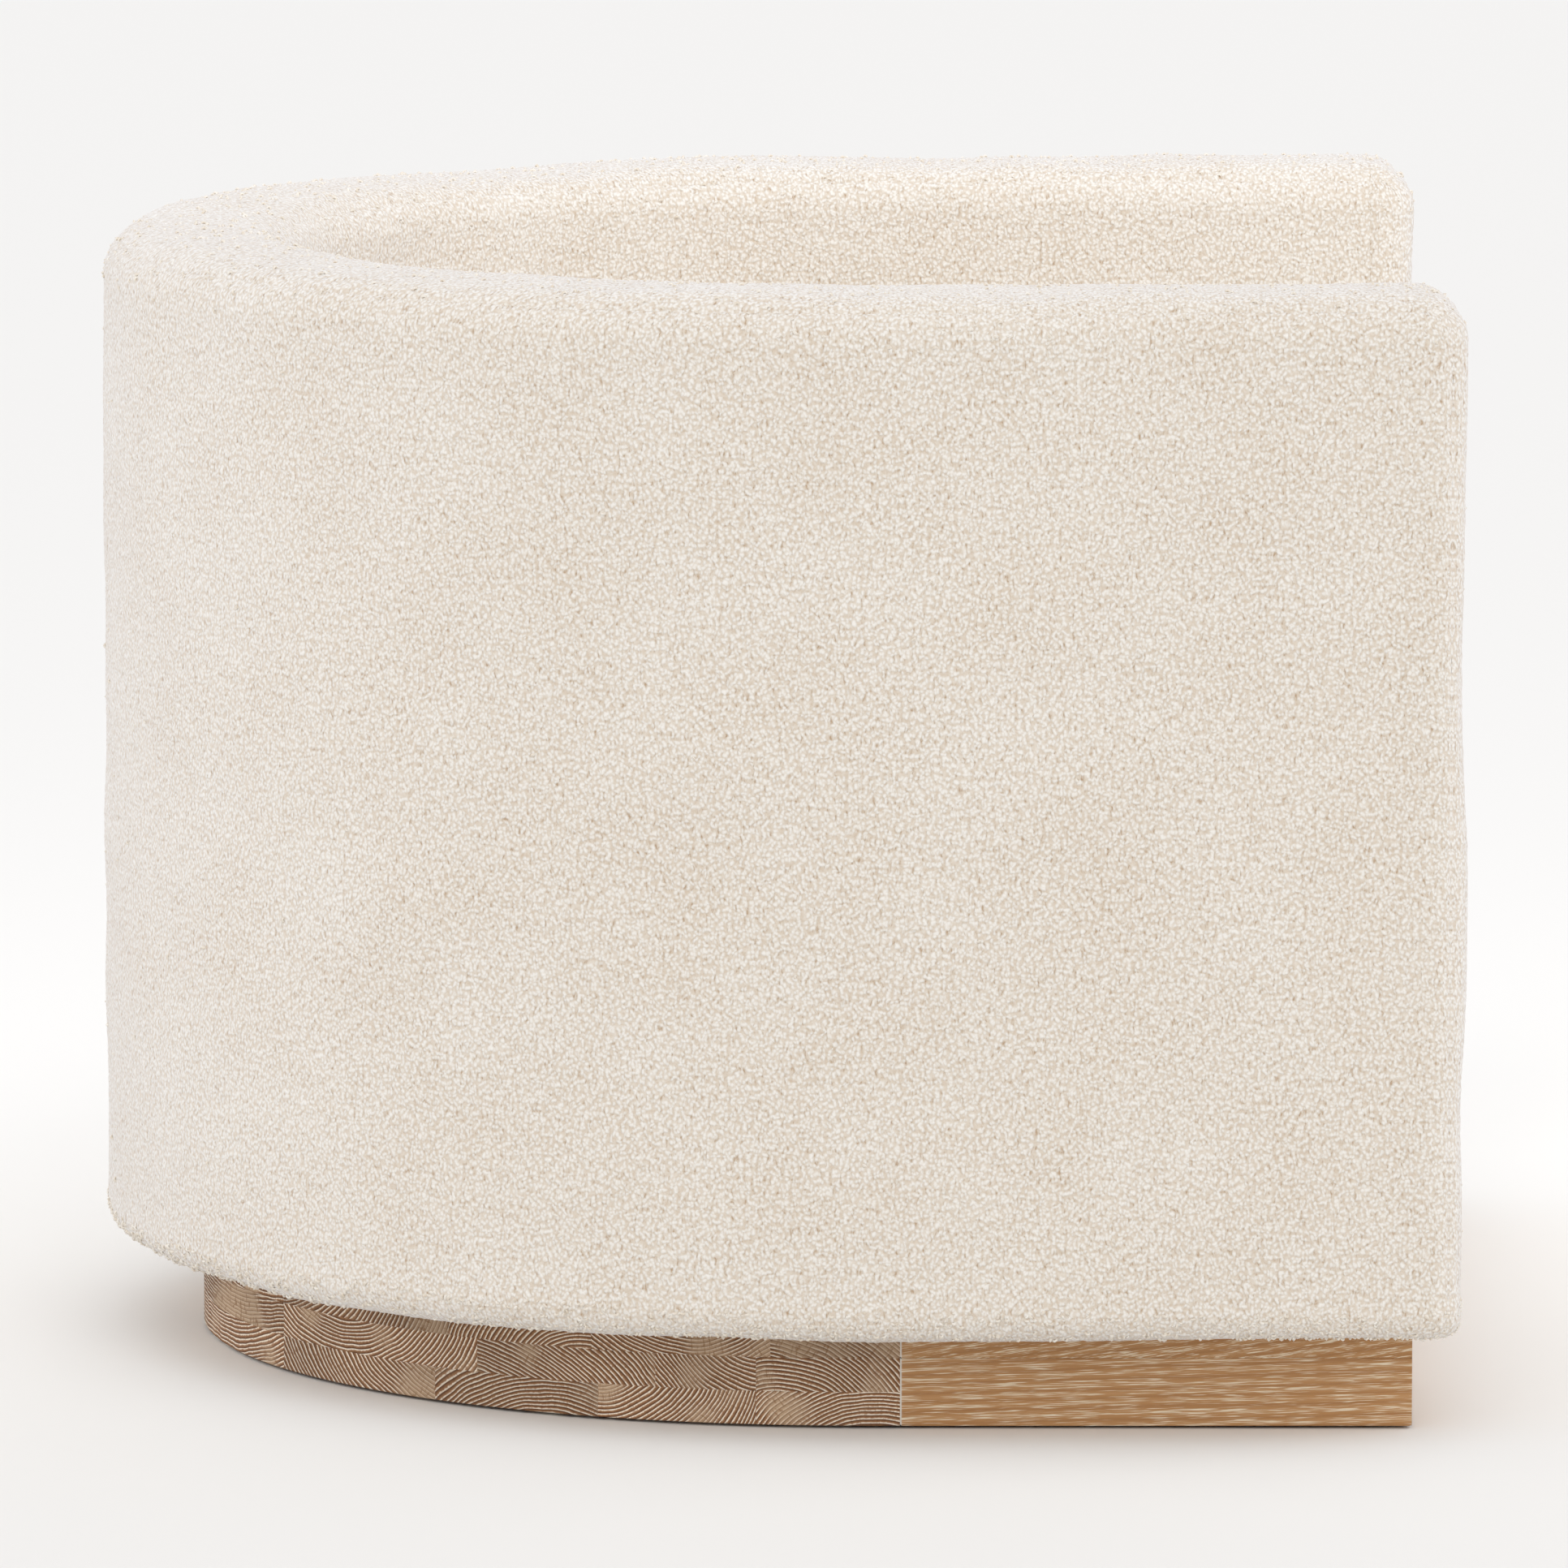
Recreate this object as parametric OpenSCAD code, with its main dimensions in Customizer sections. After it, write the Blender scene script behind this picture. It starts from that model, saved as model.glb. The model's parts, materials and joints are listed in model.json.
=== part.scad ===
// Barrel sofa: one padded wall of constant height bends round the seat, on a
// set-back plinth of limed oak. Millimetres, +Z up, the arms open towards -Y.

/* [Overall] */
// Width over the outsides of the arms
body_w = 1000; // [840:5:1200]
// Depth from the arm fronts to the middle of the back
body_d = 885; // [740:5:1060]
// Height of the wall above the floor, the same for arms and back
body_h = 735; // [620:5:880]

/* [Wall] */
// Foam over the top and the arm fronts, which sets how round those edges are
edge_foam_t = 28; // [22:1:34]
// Foam on the outside of the wall, which sets how round its bottom edge is
outer_foam_t = 18; // [12:1:24]
// Foam on the inside of the wall
inner_foam_t = 56; // [44:1:68]
// Thickness of the looped cover cloth
cloth_t = 2; // [1.5:0.5:3]
// Thickness of the bent plywood panels
panel_t = 4; // [3:0.5:5]
// Size of a post across the wall
post_d = 36; // [30:1:44]
// Size of a post along the wall
post_w = 60; // [40:1:80]
// Number of posts round the curve
post_count = 7; // [5:1:7]
// Play between a post and the bent panels on both sides of it
post_play = 0.1; // [0.05:0.05:0.3]

/* [Plinth] */
// Thickness of one glued oak layer
lam_t = 22; // [18:0.5:26]
// How far the plinth is set back from the outside of the wall
plinth_inset = 63; // [45:1:80]
// How far the plinth is set back from the arm fronts
plinth_front_inset = 30; // [30:1:60]
// Width of the plinth's ring
plinth_ring_w = 70; // [50:1:90]
// How far the curved staves run on in front of the arc's centre
stave_lead = 26; // [10:1:60]
// Glue line between neighbouring staves
glue_gap = 0.2; // [0.1:0.05:0.4]
// Thickness of the felt glides
glide_t = 2; // [1:0.5:4]
// Radius of the felt glides
glide_r = 14; // [8:1:20]
// Radius of the beech dowels
dowel_r = 5; // [3:0.5:6]
// Length of the beech dowels
dowel_l = 60; // [40:2:80]

/* [Base and seat] */
// Thickness of the plywood base board
base_t = 18; // [15:1:24]
// Thickness of the top rail
top_rail_t = 18; // [15:1:24]
// Height of the top of the seat rails above the floor
rail_z = 286; // [240:2:320]
// Height of a seat rail
rail_h = 90; // [60:2:110]
// Thickness of a seat rail
rail_t = 22; // [18:1:30]
// Thickness of the boards behind the arm fronts and the apron
board_t = 9; // [6:0.5:15]
// Foam on the apron under the seat
apron_foam_t = 16; // [10:1:20]
// Width of a webbing strap
strap_w = 50; // [40:2:70]
// Thickness of a webbing strap
strap_t = 2; // [1.5:0.5:3]
// Thickness of the hessian over the webbing
hessian_t = 1.5; // [1:0.5:3]
// Foam on the deck under the cushion
deck_foam_t = 18; // [12:1:30]
// Radius of a screw's shank
screw_r = 2.5; // [2:0.25:3]

/* [Seat cushion] */
// Thickness of the seat cushion
cushion_t = 140; // [100:2:170]
// Gap between the cushion and the wall
cushion_gap = 7; // [5:0.5:12]
// How far the cushion's front is set back from the arm fronts
cushion_setback = 15; // [8:1:40]
// Radius of the cushion's front corners in plan
cushion_corner_r = 28; // [15:1:50]
// Angle of the back that the cushion's zip covers
zip_angle = 110; // [80:2:140]

/* [Hidden] */

$fn = 48;
over = 1; // how far a cutter passes the face that it opens

// Radii of the wall's layers from outside to inside, about the arc's centre
r_out = body_w / 2;
r_outer_foam = r_out - cloth_t;
r_outer_panel = r_outer_foam - outer_foam_t;
r_post_out = r_outer_panel - panel_t;
r_post_in = r_post_out - post_d;
r_inner_panel = r_post_in - panel_t;
r_inner_foam = r_inner_panel - inner_foam_t;
r_in = r_inner_foam - cloth_t;
r_post = (r_post_out + r_post_in) / 2;

// Depths
y_front = -body_d / 2;
y_arc = body_d / 2 - r_out;
edge_r = edge_foam_t + cloth_t;
y_frame = y_front + edge_r;
y_posts = y_frame + board_t;

// Heights
plinth_layers = 3;
z_base = glide_t + plinth_layers * lam_t;
z_hem = z_base - cloth_t;
hem_r = outer_foam_t + cloth_t;
z_floor = z_base + base_t;
z_rail = body_h - edge_r;
z_post_top = z_rail - top_rail_t;
z_hessian = rail_z + 2 * strap_t;
z_deck_foam = z_hessian + hessian_t;
z_deck = z_deck_foam + deck_foam_t + cloth_t;

// Plinth
r_plinth = r_out - plinth_inset;
r_plinth_in = r_plinth - plinth_ring_w;
r_plinth_mid = r_plinth - plinth_ring_w / 2;
y_plinth = y_front + plinth_front_inset;
y_seam = y_arc - stave_lead;
// Where each layer's stave joints lie, as shares of the curved part's depth
stave_splits = [
  [0.20, 0.42, 0.65, 0.87],
  [0.20, 0.34, 0.59, 0.87],
  [0.18, 0.43, 0.63, 0.87]
];
last_pair = 3; // index of the last stave that is a pair, left and right
glide_angles = [20, 65, 115, 160];
screw_angles = [18, 54, 90, 126, 162];
screw_head_r = 2 * screw_r;
screw_head_t = screw_r;
plinth_screw_l = base_t + 0.8 * lam_t;
frame_screw_l = 60;

// Seat cushion
rest_gap = 0.5; // between the cushion and the deck it lies on
r_cushion = r_in - cushion_gap;
y_cushion = y_front + cushion_setback;
z_cushion = z_deck + rest_gap;
z_cushion_top = z_cushion + cushion_t;
z_zip = z_cushion + cushion_t / 2;
zip_h = 6;
zip_proud = 0.5;
slider_gap = 0.4;
slider_t = 2.6;
slider_angle = 2.2;
pull_l = 26;

arc_steps = 6; // straight pieces in a rounded corner of a profile

// Points of a circular arc from angle a0 to a1
function arc(cx, cy, r, a0, a1, n = arc_steps) =
  [for (i = [0:n]) let (a = a0 + (a1 - a0) * i / n)
    [cx + r * cos(a), cy + r * sin(a)]];

// Plan outline of the seat cushion, inset all round by d: a half circle, two
// straight sides and rounded front corners
function cushion_outline(d) =
  let (r = r_cushion - d, c = cushion_corner_r - d, yf = y_cushion + d)
  concat(
    arc(0, y_arc, r, 0, 180, 40),
    arc(-r + c, yf + c, c, 180, 270),
    arc(r - c, yf + c, c, 270, 360)
  );

// ---- shapes that repeat ----

// Carries a profile of radius and height round the curve and along both arms
// as far forward as y_end
module wall_sweep(y_end) {
  translate([0, y_arc, 0]) {
    rotate_extrude(angle = 180, $fn = 96) children();
    for (side = [0, 1])
      mirror([side, 0, 0])
        rotate([90, 0, 0]) linear_extrude(y_arc - y_end) children();
  }
}

// The curved part of a wall sweep alone
module curve_sweep() {
  translate([0, y_arc, 0]) rotate_extrude(angle = 180, $fn = 96) children();
}

// One arm's straight part of a wall sweep; side is -1 or 1
module arm_sweep(side, y_end) {
  translate([0, y_arc, 0])
    mirror([side < 0 ? 1 : 0, 0, 0])
      rotate([90, 0, 0]) linear_extrude(y_arc - y_end) children();
}

// Rectangle of a profile, by its two radii and two heights
module band(r0, r1, z0, z1) {
  translate([r0, z0]) square([r1 - r0, z1 - z0]);
}

// Plate with a half-round back and a straight front
module d_plate(r, y_end, z0, z1) {
  wall_sweep(y_end) band(0, r, z0, z1);
}

// Puts its children at an angle round the arc and a radius from its centre
module on_arc(angle, r, z) {
  translate([0, y_arc, 0]) rotate([0, 0, angle]) translate([r, 0, z]) children();
}

// Countersunk wood screw pointing down from its head's top face
module screw(l) {
  translate([0, 0, -l]) cylinder(r = screw_r, h = l);
  translate([0, 0, -screw_head_t]) cylinder(r = screw_head_r, h = screw_head_t);
}

// ---- plinth ----

function layer_z(k) = glide_t + k * lam_t;
function joint_y(k, i) =
  i < 0 ? y_seam :
  i >= len(stave_splits[k]) ? y_arc + r_plinth + over :
  y_seam + stave_splits[k][i] * (y_arc + r_plinth - y_seam);

// Staves first to last of one layer, which lie across the sofa and are sawn to
// the curve. All but the last are pairs that meet at the middle of the back
module stave_layer(k, first, last) {
  z0 = layer_z(k);
  difference() {
    for (i = [first:last])
      intersection() {
        wall_sweep(y_seam) band(r_plinth_in, r_plinth, z0, z0 + lam_t);
        translate([-r_out, joint_y(k, i - 1) + (i > 0 ? glue_gap : 0), z0])
          cube([body_w, joint_y(k, i) - joint_y(k, i - 1)
            - (i > 0 ? glue_gap : 0), lam_t]);
      }
    translate([-glue_gap / 2, y_seam, z0 - over])
      cube([glue_gap, joint_y(k, last_pair) - y_seam, lam_t + 2 * over]);
    dowels();
    plinth_screw_set();
  }
}

module front_staves(k) { color("tan") stave_layer(k, 0, last_pair - 1); }
module back_staves(k) { color("tan") stave_layer(k, last_pair, last_pair + 1); }

module plinth_layer_bottom() { front_staves(0); }
module plinth_layer_middle() { front_staves(1); }
module plinth_layer_top() { front_staves(2); }
module plinth_back_bottom() { back_staves(0); }
module plinth_back_middle() { back_staves(1); }
module plinth_back_top() { back_staves(2); }

// Two long-grain boards glued one on the other, with the given plan outline
module board_pair(outline) {
  lower_h = 2 * lam_t - glue_gap;
  difference() {
    union() {
      translate([0, 0, glide_t]) linear_extrude(lower_h) polygon(outline);
      translate([0, 0, glide_t + 2 * lam_t]) linear_extrude(lam_t) polygon(outline);
    }
    dowels();
    plinth_screw_set();
  }
}

function side_outline(side) = [
  [side * r_plinth, y_seam], [side * r_plinth, y_plinth],
  [side * r_plinth_in, y_plinth + plinth_ring_w], [side * r_plinth_in, y_seam]
];

module plinth_side_left() { color("burlywood") board_pair(side_outline(-1)); }
module plinth_side_right() { color("burlywood") board_pair(side_outline(1)); }

module plinth_front() {
  color("burlywood") board_pair([
    [-r_plinth, y_plinth], [r_plinth, y_plinth],
    [r_plinth_in, y_plinth + plinth_ring_w], [-r_plinth_in, y_plinth + plinth_ring_w]
  ]);
}

// One dowel a layer across the seam between each side board and the curve
module dowels() {
  for (side = [-1, 1], k = [0:plinth_layers - 1])
    translate([side * r_plinth_mid, y_seam + dowel_l / 2, layer_z(k) + lam_t / 2])
      rotate([90, 0, 0]) cylinder(r = dowel_r, h = dowel_l);
}

module plinth_dowels() { color("wheat") dowels(); }

// Screws down through the base board into the plinth
module plinth_screw_set() {
  side_run = y_seam - y_plinth;
  for (a = screw_angles) on_arc(a, r_plinth_mid, z_floor) screw(plinth_screw_l);
  for (side = [-1, 1], share = [0.3, 0.7])
    translate([side * r_plinth_mid, y_plinth + share * side_run, z_floor])
      screw(plinth_screw_l);
  for (side = [-1, 1])
    translate([side * r_plinth_mid / 2, y_plinth + plinth_ring_w / 2, z_floor])
      screw(plinth_screw_l);
}

module plinth_screws() { color("silver") plinth_screw_set(); }

module floor_glides() {
  color("dimgray") {
    for (a = glide_angles) on_arc(a, r_plinth_mid, 0) cylinder(r = glide_r, h = glide_t);
    for (side = [-1, 1], y = [y_seam - 3 * glide_r, y_plinth + plinth_ring_w / 2])
      translate([side * r_plinth_mid, y, 0]) cylinder(r = glide_r, h = glide_t);
  }
}

// ---- frame ----

// Black lining under the base board, inside the plinth
module dust_cover() {
  lining_t = 1;
  color("black") d_plate(r_plinth_in, y_plinth + plinth_ring_w, z_base - lining_t, z_base);
}

module base_board() {
  color("peru") difference() {
    d_plate(r_outer_panel, y_frame, z_base, z_floor);
    plinth_screw_set();
    lower_frame_screws();
  }
}

module front_post(side) {
  color("wheat") difference() {
    translate([side * r_post - post_d / 2, y_posts, z_floor])
      cube([post_d, post_w, z_post_top - z_floor]);
    upper_frame_screws();
    lower_frame_screws();
  }
}

module front_post_left() { front_post(-1); }
module front_post_right() { front_post(1); }

post_span = 2 * asin(post_w / 2 / r_post);
function post_angle(i) = post_span / 2 + (i - 1) * (180 - post_span) / (post_count - 1);

module curve_post(i) {
  color("wheat") difference() {
    translate([0, y_arc, 0])
      rotate([0, 0, post_angle(i) - post_span / 2])
        rotate_extrude(angle = post_span, $fn = 96)
          band(r_post_in + post_play, r_post_out - post_play, z_floor, z_post_top);
    upper_frame_screws();
    lower_frame_screws();
  }
}

module at_posts(z) {
  for (i = [1:post_count]) on_arc(post_angle(i), r_post, z) children();
  for (side = [-1, 1])
    translate([side * r_post, y_posts + post_w / 2, z]) children();
}

module upper_frame_screws() { at_posts(z_rail) screw(frame_screw_l); }
module lower_frame_screws() {
  at_posts(z_base) rotate([180, 0, 0]) screw(frame_screw_l);
}

module frame_screws() {
  color("silver") {
    upper_frame_screws();
    lower_frame_screws();
  }
}

module top_rail() {
  color("peru") difference() {
    wall_sweep(y_posts) band(r_post_in, r_post_out, z_post_top, z_rail);
    upper_frame_screws();
  }
}

module outer_panel() {
  color("sandybrown") wall_sweep(y_posts) band(r_post_out, r_outer_panel, z_floor, z_rail);
}

module inner_panel() {
  color("sandybrown") wall_sweep(y_posts) band(r_inner_panel, r_post_in, rail_z, z_rail);
}

module arm_front_board(side) {
  board_w = r_outer_panel - r_inner_foam;
  color("sandybrown")
    translate([side * (r_inner_foam + board_w / 2) - board_w / 2, y_frame, z_floor])
      cube([board_w, board_t, z_rail - z_floor]);
}

module arm_front_board_left() { arm_front_board(-1); }
module arm_front_board_right() { arm_front_board(1); }

module apron_board() {
  color("sandybrown") translate([-r_inner_foam, y_frame, z_floor])
    cube([2 * r_inner_foam, board_t, z_deck_foam - z_floor]);
}

// ---- seat ----

r_rail_in = r_post_in - rail_t;

module seat_rail_front() {
  color("peru") translate([-r_rail_in, y_posts, rail_z - rail_h])
    cube([2 * r_rail_in, rail_t, rail_h]);
}

module seat_rail_left() {
  color("peru") arm_sweep(-1, y_posts) band(r_rail_in, r_post_in, rail_z - rail_h, rail_z);
}

module seat_rail_right() {
  color("peru") arm_sweep(1, y_posts) band(r_rail_in, r_post_in, rail_z - rail_h, rail_z);
}

module seat_rail_back() {
  color("peru") curve_sweep() band(r_rail_in, r_post_in, rail_z - rail_h, rail_z);
}

module corner_blocks() {
  leg = 60;
  color("wheat") for (side = [0, 1])
    mirror([side, 0, 0])
      translate([r_rail_in, y_posts + rail_t, rail_z - rail_h])
        linear_extrude(rail_h) polygon([[0, 0], [-leg, 0], [0, leg]]);
}

strap_pitch = 1.8 * strap_w;
strap_reach = 12; // how far a strap lies on a rail

// How far behind the arc's centre a strap at offset x reaches the curved rail,
// or how far out one at that depth does
function back_run(x) = sqrt(pow(r_rail_in + strap_reach, 2) - pow(x, 2));

module webbing_lengthwise() {
  count = floor((r_rail_in - strap_w) / strap_pitch);
  y0 = y_posts + rail_t - strap_reach;
  color("saddlebrown") for (i = [-count:count]) {
    outer_x = abs(i) * strap_pitch + strap_w / 2;
    translate([i * strap_pitch - strap_w / 2, y0, rail_z])
      cube([strap_w, y_arc + back_run(outer_x) - y0, strap_t]);
  }
}

module webbing_crosswise() {
  first = y_posts + rail_t + strap_w;
  last = y_arc + 0.6 * r_rail_in;
  count = floor((last - first) / strap_pitch);
  color("saddlebrown") for (i = [0:count]) {
    y = first + i * (last - first) / count;
    half = y + strap_w < y_arc
      ? r_rail_in + strap_reach
      : back_run(max(0, y + strap_w / 2 - y_arc));
    translate([-half, y - strap_w / 2, rail_z + strap_t])
      cube([2 * half, strap_w, strap_t]);
  }
}

module hessian() {
  color("tan") d_plate(r_inner_panel, y_posts, z_hessian, z_deck_foam);
}

module deck_foam() {
  color("khaki") d_plate(r_in, y_frame, z_deck_foam, z_deck - cloth_t);
}

module deck_cover() {
  color("antiquewhite") d_plate(r_in, y_frame, z_deck - cloth_t, z_deck);
}

// ---- wall padding ----

module outer_foam() {
  color("khaki") wall_sweep(y_frame) polygon(concat(
    arc(r_outer_panel, z_base + outer_foam_t, outer_foam_t, -90, 0),
    [[r_outer_foam, z_rail], [r_outer_panel, z_rail]]
  ));
}

module top_foam() {
  color("khaki") wall_sweep(y_frame) polygon(concat(
    arc(r_out - edge_r, z_rail, edge_foam_t, 0, 90),
    arc(r_in + edge_r, z_rail, edge_foam_t, 90, 180)
  ));
}

module back_foam() {
  color("khaki") curve_sweep() band(r_inner_foam, r_inner_panel, z_deck_foam, z_rail);
}

module arm_foam_left() {
  color("khaki") arm_sweep(-1, y_posts) band(r_inner_foam, r_inner_panel, z_deck_foam, z_rail);
}

module arm_foam_right() {
  color("khaki") arm_sweep(1, y_posts) band(r_inner_foam, r_inner_panel, z_deck_foam, z_rail);
}

// Section through an arm, all its edges inset by d; the bottom ones by less,
// so that the hem stays tighter than the other edges
function arm_section(d, skin) =
  let (r = max(edge_r - skin - d, 0.5), b = max(hem_r - skin - d, 0.5),
    x0 = r_in + skin + d, x1 = r_out - skin - d,
    z0 = z_hem + skin + d * hem_r / edge_r, z1 = body_h - skin - d)
  concat(
    arc(x0 + b, z0 + b, b, 180, 270), arc(x1 - b, z0 + b, b, 270, 360),
    arc(x1 - r, z1 - r, r, 0, 90), arc(x0 + r, z1 - r, r, 90, 180)
  );

// Padded end of the right arm, rounded towards the front; skin is how far
// below the cover's outside it lies
module arm_end(skin) {
  r = edge_r - skin;
  slice = 0.1;
  hull() for (i = [0:arc_steps]) let (a = 90 * i / arc_steps)
    translate([0, y_frame - r * sin(a) + (i == 0 ? 0 : slice), 0])
      rotate([90, 0, 0]) linear_extrude(slice)
        polygon(arm_section(r * (1 - cos(a)), skin));
}

module arm_front_foam(side) {
  color("khaki") mirror([side < 0 ? 1 : 0, 0, 0]) arm_end(cloth_t);
}

// Fold of a front cover under the base board, as far back as the plinth
module hem_fold(x0, x1) {
  if (y_plinth > y_frame)
    translate([x0, y_frame, z_hem]) cube([x1 - x0, y_plinth - y_frame, cloth_t]);
}

// Room for the plinth where it reaches in front of the frame
module plinth_room() {
  if (y_plinth < y_frame)
    translate([-r_plinth, y_plinth, z_hem - over])
      cube([2 * r_plinth, edge_r + over, cloth_t + over]);
}

module arm_front_cover(side) {
  color("antiquewhite") mirror([side < 0 ? 1 : 0, 0, 0]) difference() {
    union() {
      arm_end(0);
      hem_fold(r_in, r_plinth + rest_gap);
    }
    arm_end(cloth_t);
    plinth_room();
  }
}

module arm_front_foam_left() { arm_front_foam(-1); }
module arm_front_foam_right() { arm_front_foam(1); }
module arm_front_cover_left() { arm_front_cover(-1); }
module arm_front_cover_right() { arm_front_cover(1); }

apron_top_r = 12;

// Profile of the apron, depth against height, rounded top and bottom; skin is
// how far below the cover's outside it lies
function apron_profile(skin) =
  let (t = apron_foam_t + cloth_t - skin, r = apron_top_r - skin, z1 = z_deck - skin)
  concat(
    arc(y_frame, z_hem + skin + t, t, 270, 180),
    arc(y_frame - t + r, z1 - r, r, 180, 90),
    [[y_frame, z1]]
  );

module apron_block(skin) {
  translate([-r_in, 0, 0]) rotate([90, 0, 90])
    linear_extrude(2 * r_in) polygon(apron_profile(skin));
}

module apron_foam() { color("khaki") apron_block(cloth_t); }

module apron_cover() {
  color("antiquewhite") difference() {
    union() {
      apron_block(0);
      hem_fold(-r_in, r_in);
    }
    apron_block(cloth_t);
    plinth_room();
  }
}

// ---- wall covers ----

module outside_cover() {
  hem_in = r_plinth + rest_gap;
  color("antiquewhite") wall_sweep(y_frame) polygon(concat(
    [[hem_in, z_base], [hem_in, z_hem]],
    arc(r_outer_panel, z_hem + hem_r, hem_r, -90, 0),
    [[r_out, z_rail], [r_outer_foam, z_rail]],
    arc(r_outer_panel, z_hem + hem_r, outer_foam_t, 0, -90)
  ));
}

module top_cover() {
  color("antiquewhite") wall_sweep(y_frame) polygon(concat(
    arc(r_out - edge_r, z_rail, edge_r, 0, 90),
    arc(r_in + edge_r, z_rail, edge_r, 90, 180),
    arc(r_in + edge_r, z_rail, edge_foam_t, 180, 90),
    arc(r_out - edge_r, z_rail, edge_foam_t, 90, 0)
  ));
}

module inside_cover() {
  color("antiquewhite") wall_sweep(y_frame) band(r_in, r_inner_foam, z_deck_foam, z_rail);
}

// ---- seat cushion ----

module cushion_plate(d, z0, z1) {
  translate([0, 0, z0]) linear_extrude(z1 - z0) polygon(cushion_outline(d));
}

module cushion_foam() {
  color("khaki") cushion_plate(cloth_t, z_cushion + cloth_t, z_cushion_top - cloth_t);
}

module cushion_top_panel() {
  color("antiquewhite") cushion_plate(0, z_cushion_top - cloth_t, z_cushion_top);
}

module cushion_bottom_panel() {
  color("antiquewhite") cushion_plate(0, z_cushion, z_cushion + cloth_t);
}

zip_start = 90 - zip_angle / 2;

// Ring that the zip's teeth fill, let into the middle of the cushion's side
module zip_ring() {
  translate([0, y_arc, 0]) rotate([0, 0, zip_start])
    rotate_extrude(angle = zip_angle, $fn = 96)
      band(r_cushion - cloth_t, r_cushion + zip_proud, z_zip - zip_h / 2, z_zip + zip_h / 2);
}

module cushion_boxing() {
  color("antiquewhite") difference() {
    cushion_plate(0, z_cushion + cloth_t, z_cushion_top - cloth_t);
    cushion_plate(cloth_t, z_cushion, z_cushion_top);
    zip_ring();
  }
}

module cushion_zip() { color("gainsboro") zip_ring(); }

// Slider at the zip's first end, with its pull hanging from it
module zip_slider() {
  r0 = r_cushion + zip_proud + slider_gap;
  z_low = z_zip - 0.8 * zip_h;
  color("silver") translate([0, y_arc, 0]) rotate([0, 0, zip_start]) {
    rotate_extrude(angle = slider_angle, $fn = 96)
      band(r0, r0 + slider_t, z_low, z_zip + 0.8 * zip_h);
    rotate([0, 0, slider_angle / 4])
      rotate_extrude(angle = slider_angle / 2, $fn = 96)
        band(r0 + slider_t / 4, r0 + 3 * slider_t / 4, z_low - pull_l, z_low);
  }
}

plinth_layer_bottom();
plinth_layer_middle();
plinth_layer_top();
plinth_back_bottom();
plinth_back_middle();
plinth_back_top();
plinth_side_left();
plinth_side_right();
plinth_front();
plinth_dowels();
plinth_screws();
floor_glides();
dust_cover();
base_board();
front_post_left();
front_post_right();
for (i = [1:post_count])
  curve_post(i);
top_rail();
frame_screws();
outer_panel();
inner_panel();
arm_front_board_left();
arm_front_board_right();
apron_board();
seat_rail_front();
seat_rail_left();
seat_rail_right();
seat_rail_back();
corner_blocks();
webbing_lengthwise();
webbing_crosswise();
hessian();
deck_foam();
deck_cover();
outer_foam();
top_foam();
back_foam();
arm_foam_left();
arm_foam_right();
arm_front_foam_left();
arm_front_foam_right();
apron_foam();
outside_cover();
top_cover();
inside_cover();
arm_front_cover_left();
arm_front_cover_right();
apron_cover();
cushion_foam();
cushion_top_panel();
cushion_bottom_panel();
cushion_boxing();
cushion_zip();
zip_slider();
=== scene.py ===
"""Barrel sofa in looped boucle on a limed oak plinth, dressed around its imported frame."""

import json
import logging
import math
from dataclasses import dataclass, field
from enum import Enum

import bmesh
import bpy
import numpy as np
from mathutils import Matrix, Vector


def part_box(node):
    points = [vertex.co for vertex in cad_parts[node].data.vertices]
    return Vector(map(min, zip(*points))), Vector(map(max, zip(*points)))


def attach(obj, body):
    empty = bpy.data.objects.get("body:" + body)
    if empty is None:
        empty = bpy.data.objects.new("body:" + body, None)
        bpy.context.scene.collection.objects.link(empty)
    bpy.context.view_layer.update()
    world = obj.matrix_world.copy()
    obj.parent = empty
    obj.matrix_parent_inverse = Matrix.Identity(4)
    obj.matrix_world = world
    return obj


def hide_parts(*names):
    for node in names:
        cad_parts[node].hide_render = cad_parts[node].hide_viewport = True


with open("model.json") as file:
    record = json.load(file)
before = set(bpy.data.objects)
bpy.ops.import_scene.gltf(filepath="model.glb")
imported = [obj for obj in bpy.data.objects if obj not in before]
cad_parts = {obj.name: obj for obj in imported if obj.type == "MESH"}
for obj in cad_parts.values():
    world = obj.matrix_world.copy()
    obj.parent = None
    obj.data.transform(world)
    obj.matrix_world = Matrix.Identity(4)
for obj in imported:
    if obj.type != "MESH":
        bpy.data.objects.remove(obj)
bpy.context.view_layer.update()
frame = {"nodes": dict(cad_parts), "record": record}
LOG = logging.getLogger("sofa")

MM = 0.001
CLOTH_UV = "Cloth"
PITH = "pith"
UP = np.array([0.0, 0.0, 1.0])
FORWARD = np.array([0.0, -1.0, 0.0])
BACKWARD = np.array([0.0, 1.0, 0.0])


# ---------------------------------------------------------------- small tools


class Side(Enum):
    """Which arm a piece belongs to, by the sign of its X."""

    LEFT = -1
    RIGHT = 1


class Slot(Enum):
    """Material slots of the record."""

    END_GRAIN = "oak_end_grain"
    LONG_GRAIN = "oak_long_grain"
    BEECH = "beech"
    STEEL = "steel"
    FELT = "felt"
    LINING = "lining"
    PLYWOOD = "plywood"
    WEBBING = "webbing"
    HESSIAN = "hessian"
    FOAM = "foam"
    BOUCLE = "boucle"
    ZIP_TAPE = "zip_tape"
    ZIP_METAL = "zip_metal"


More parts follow.
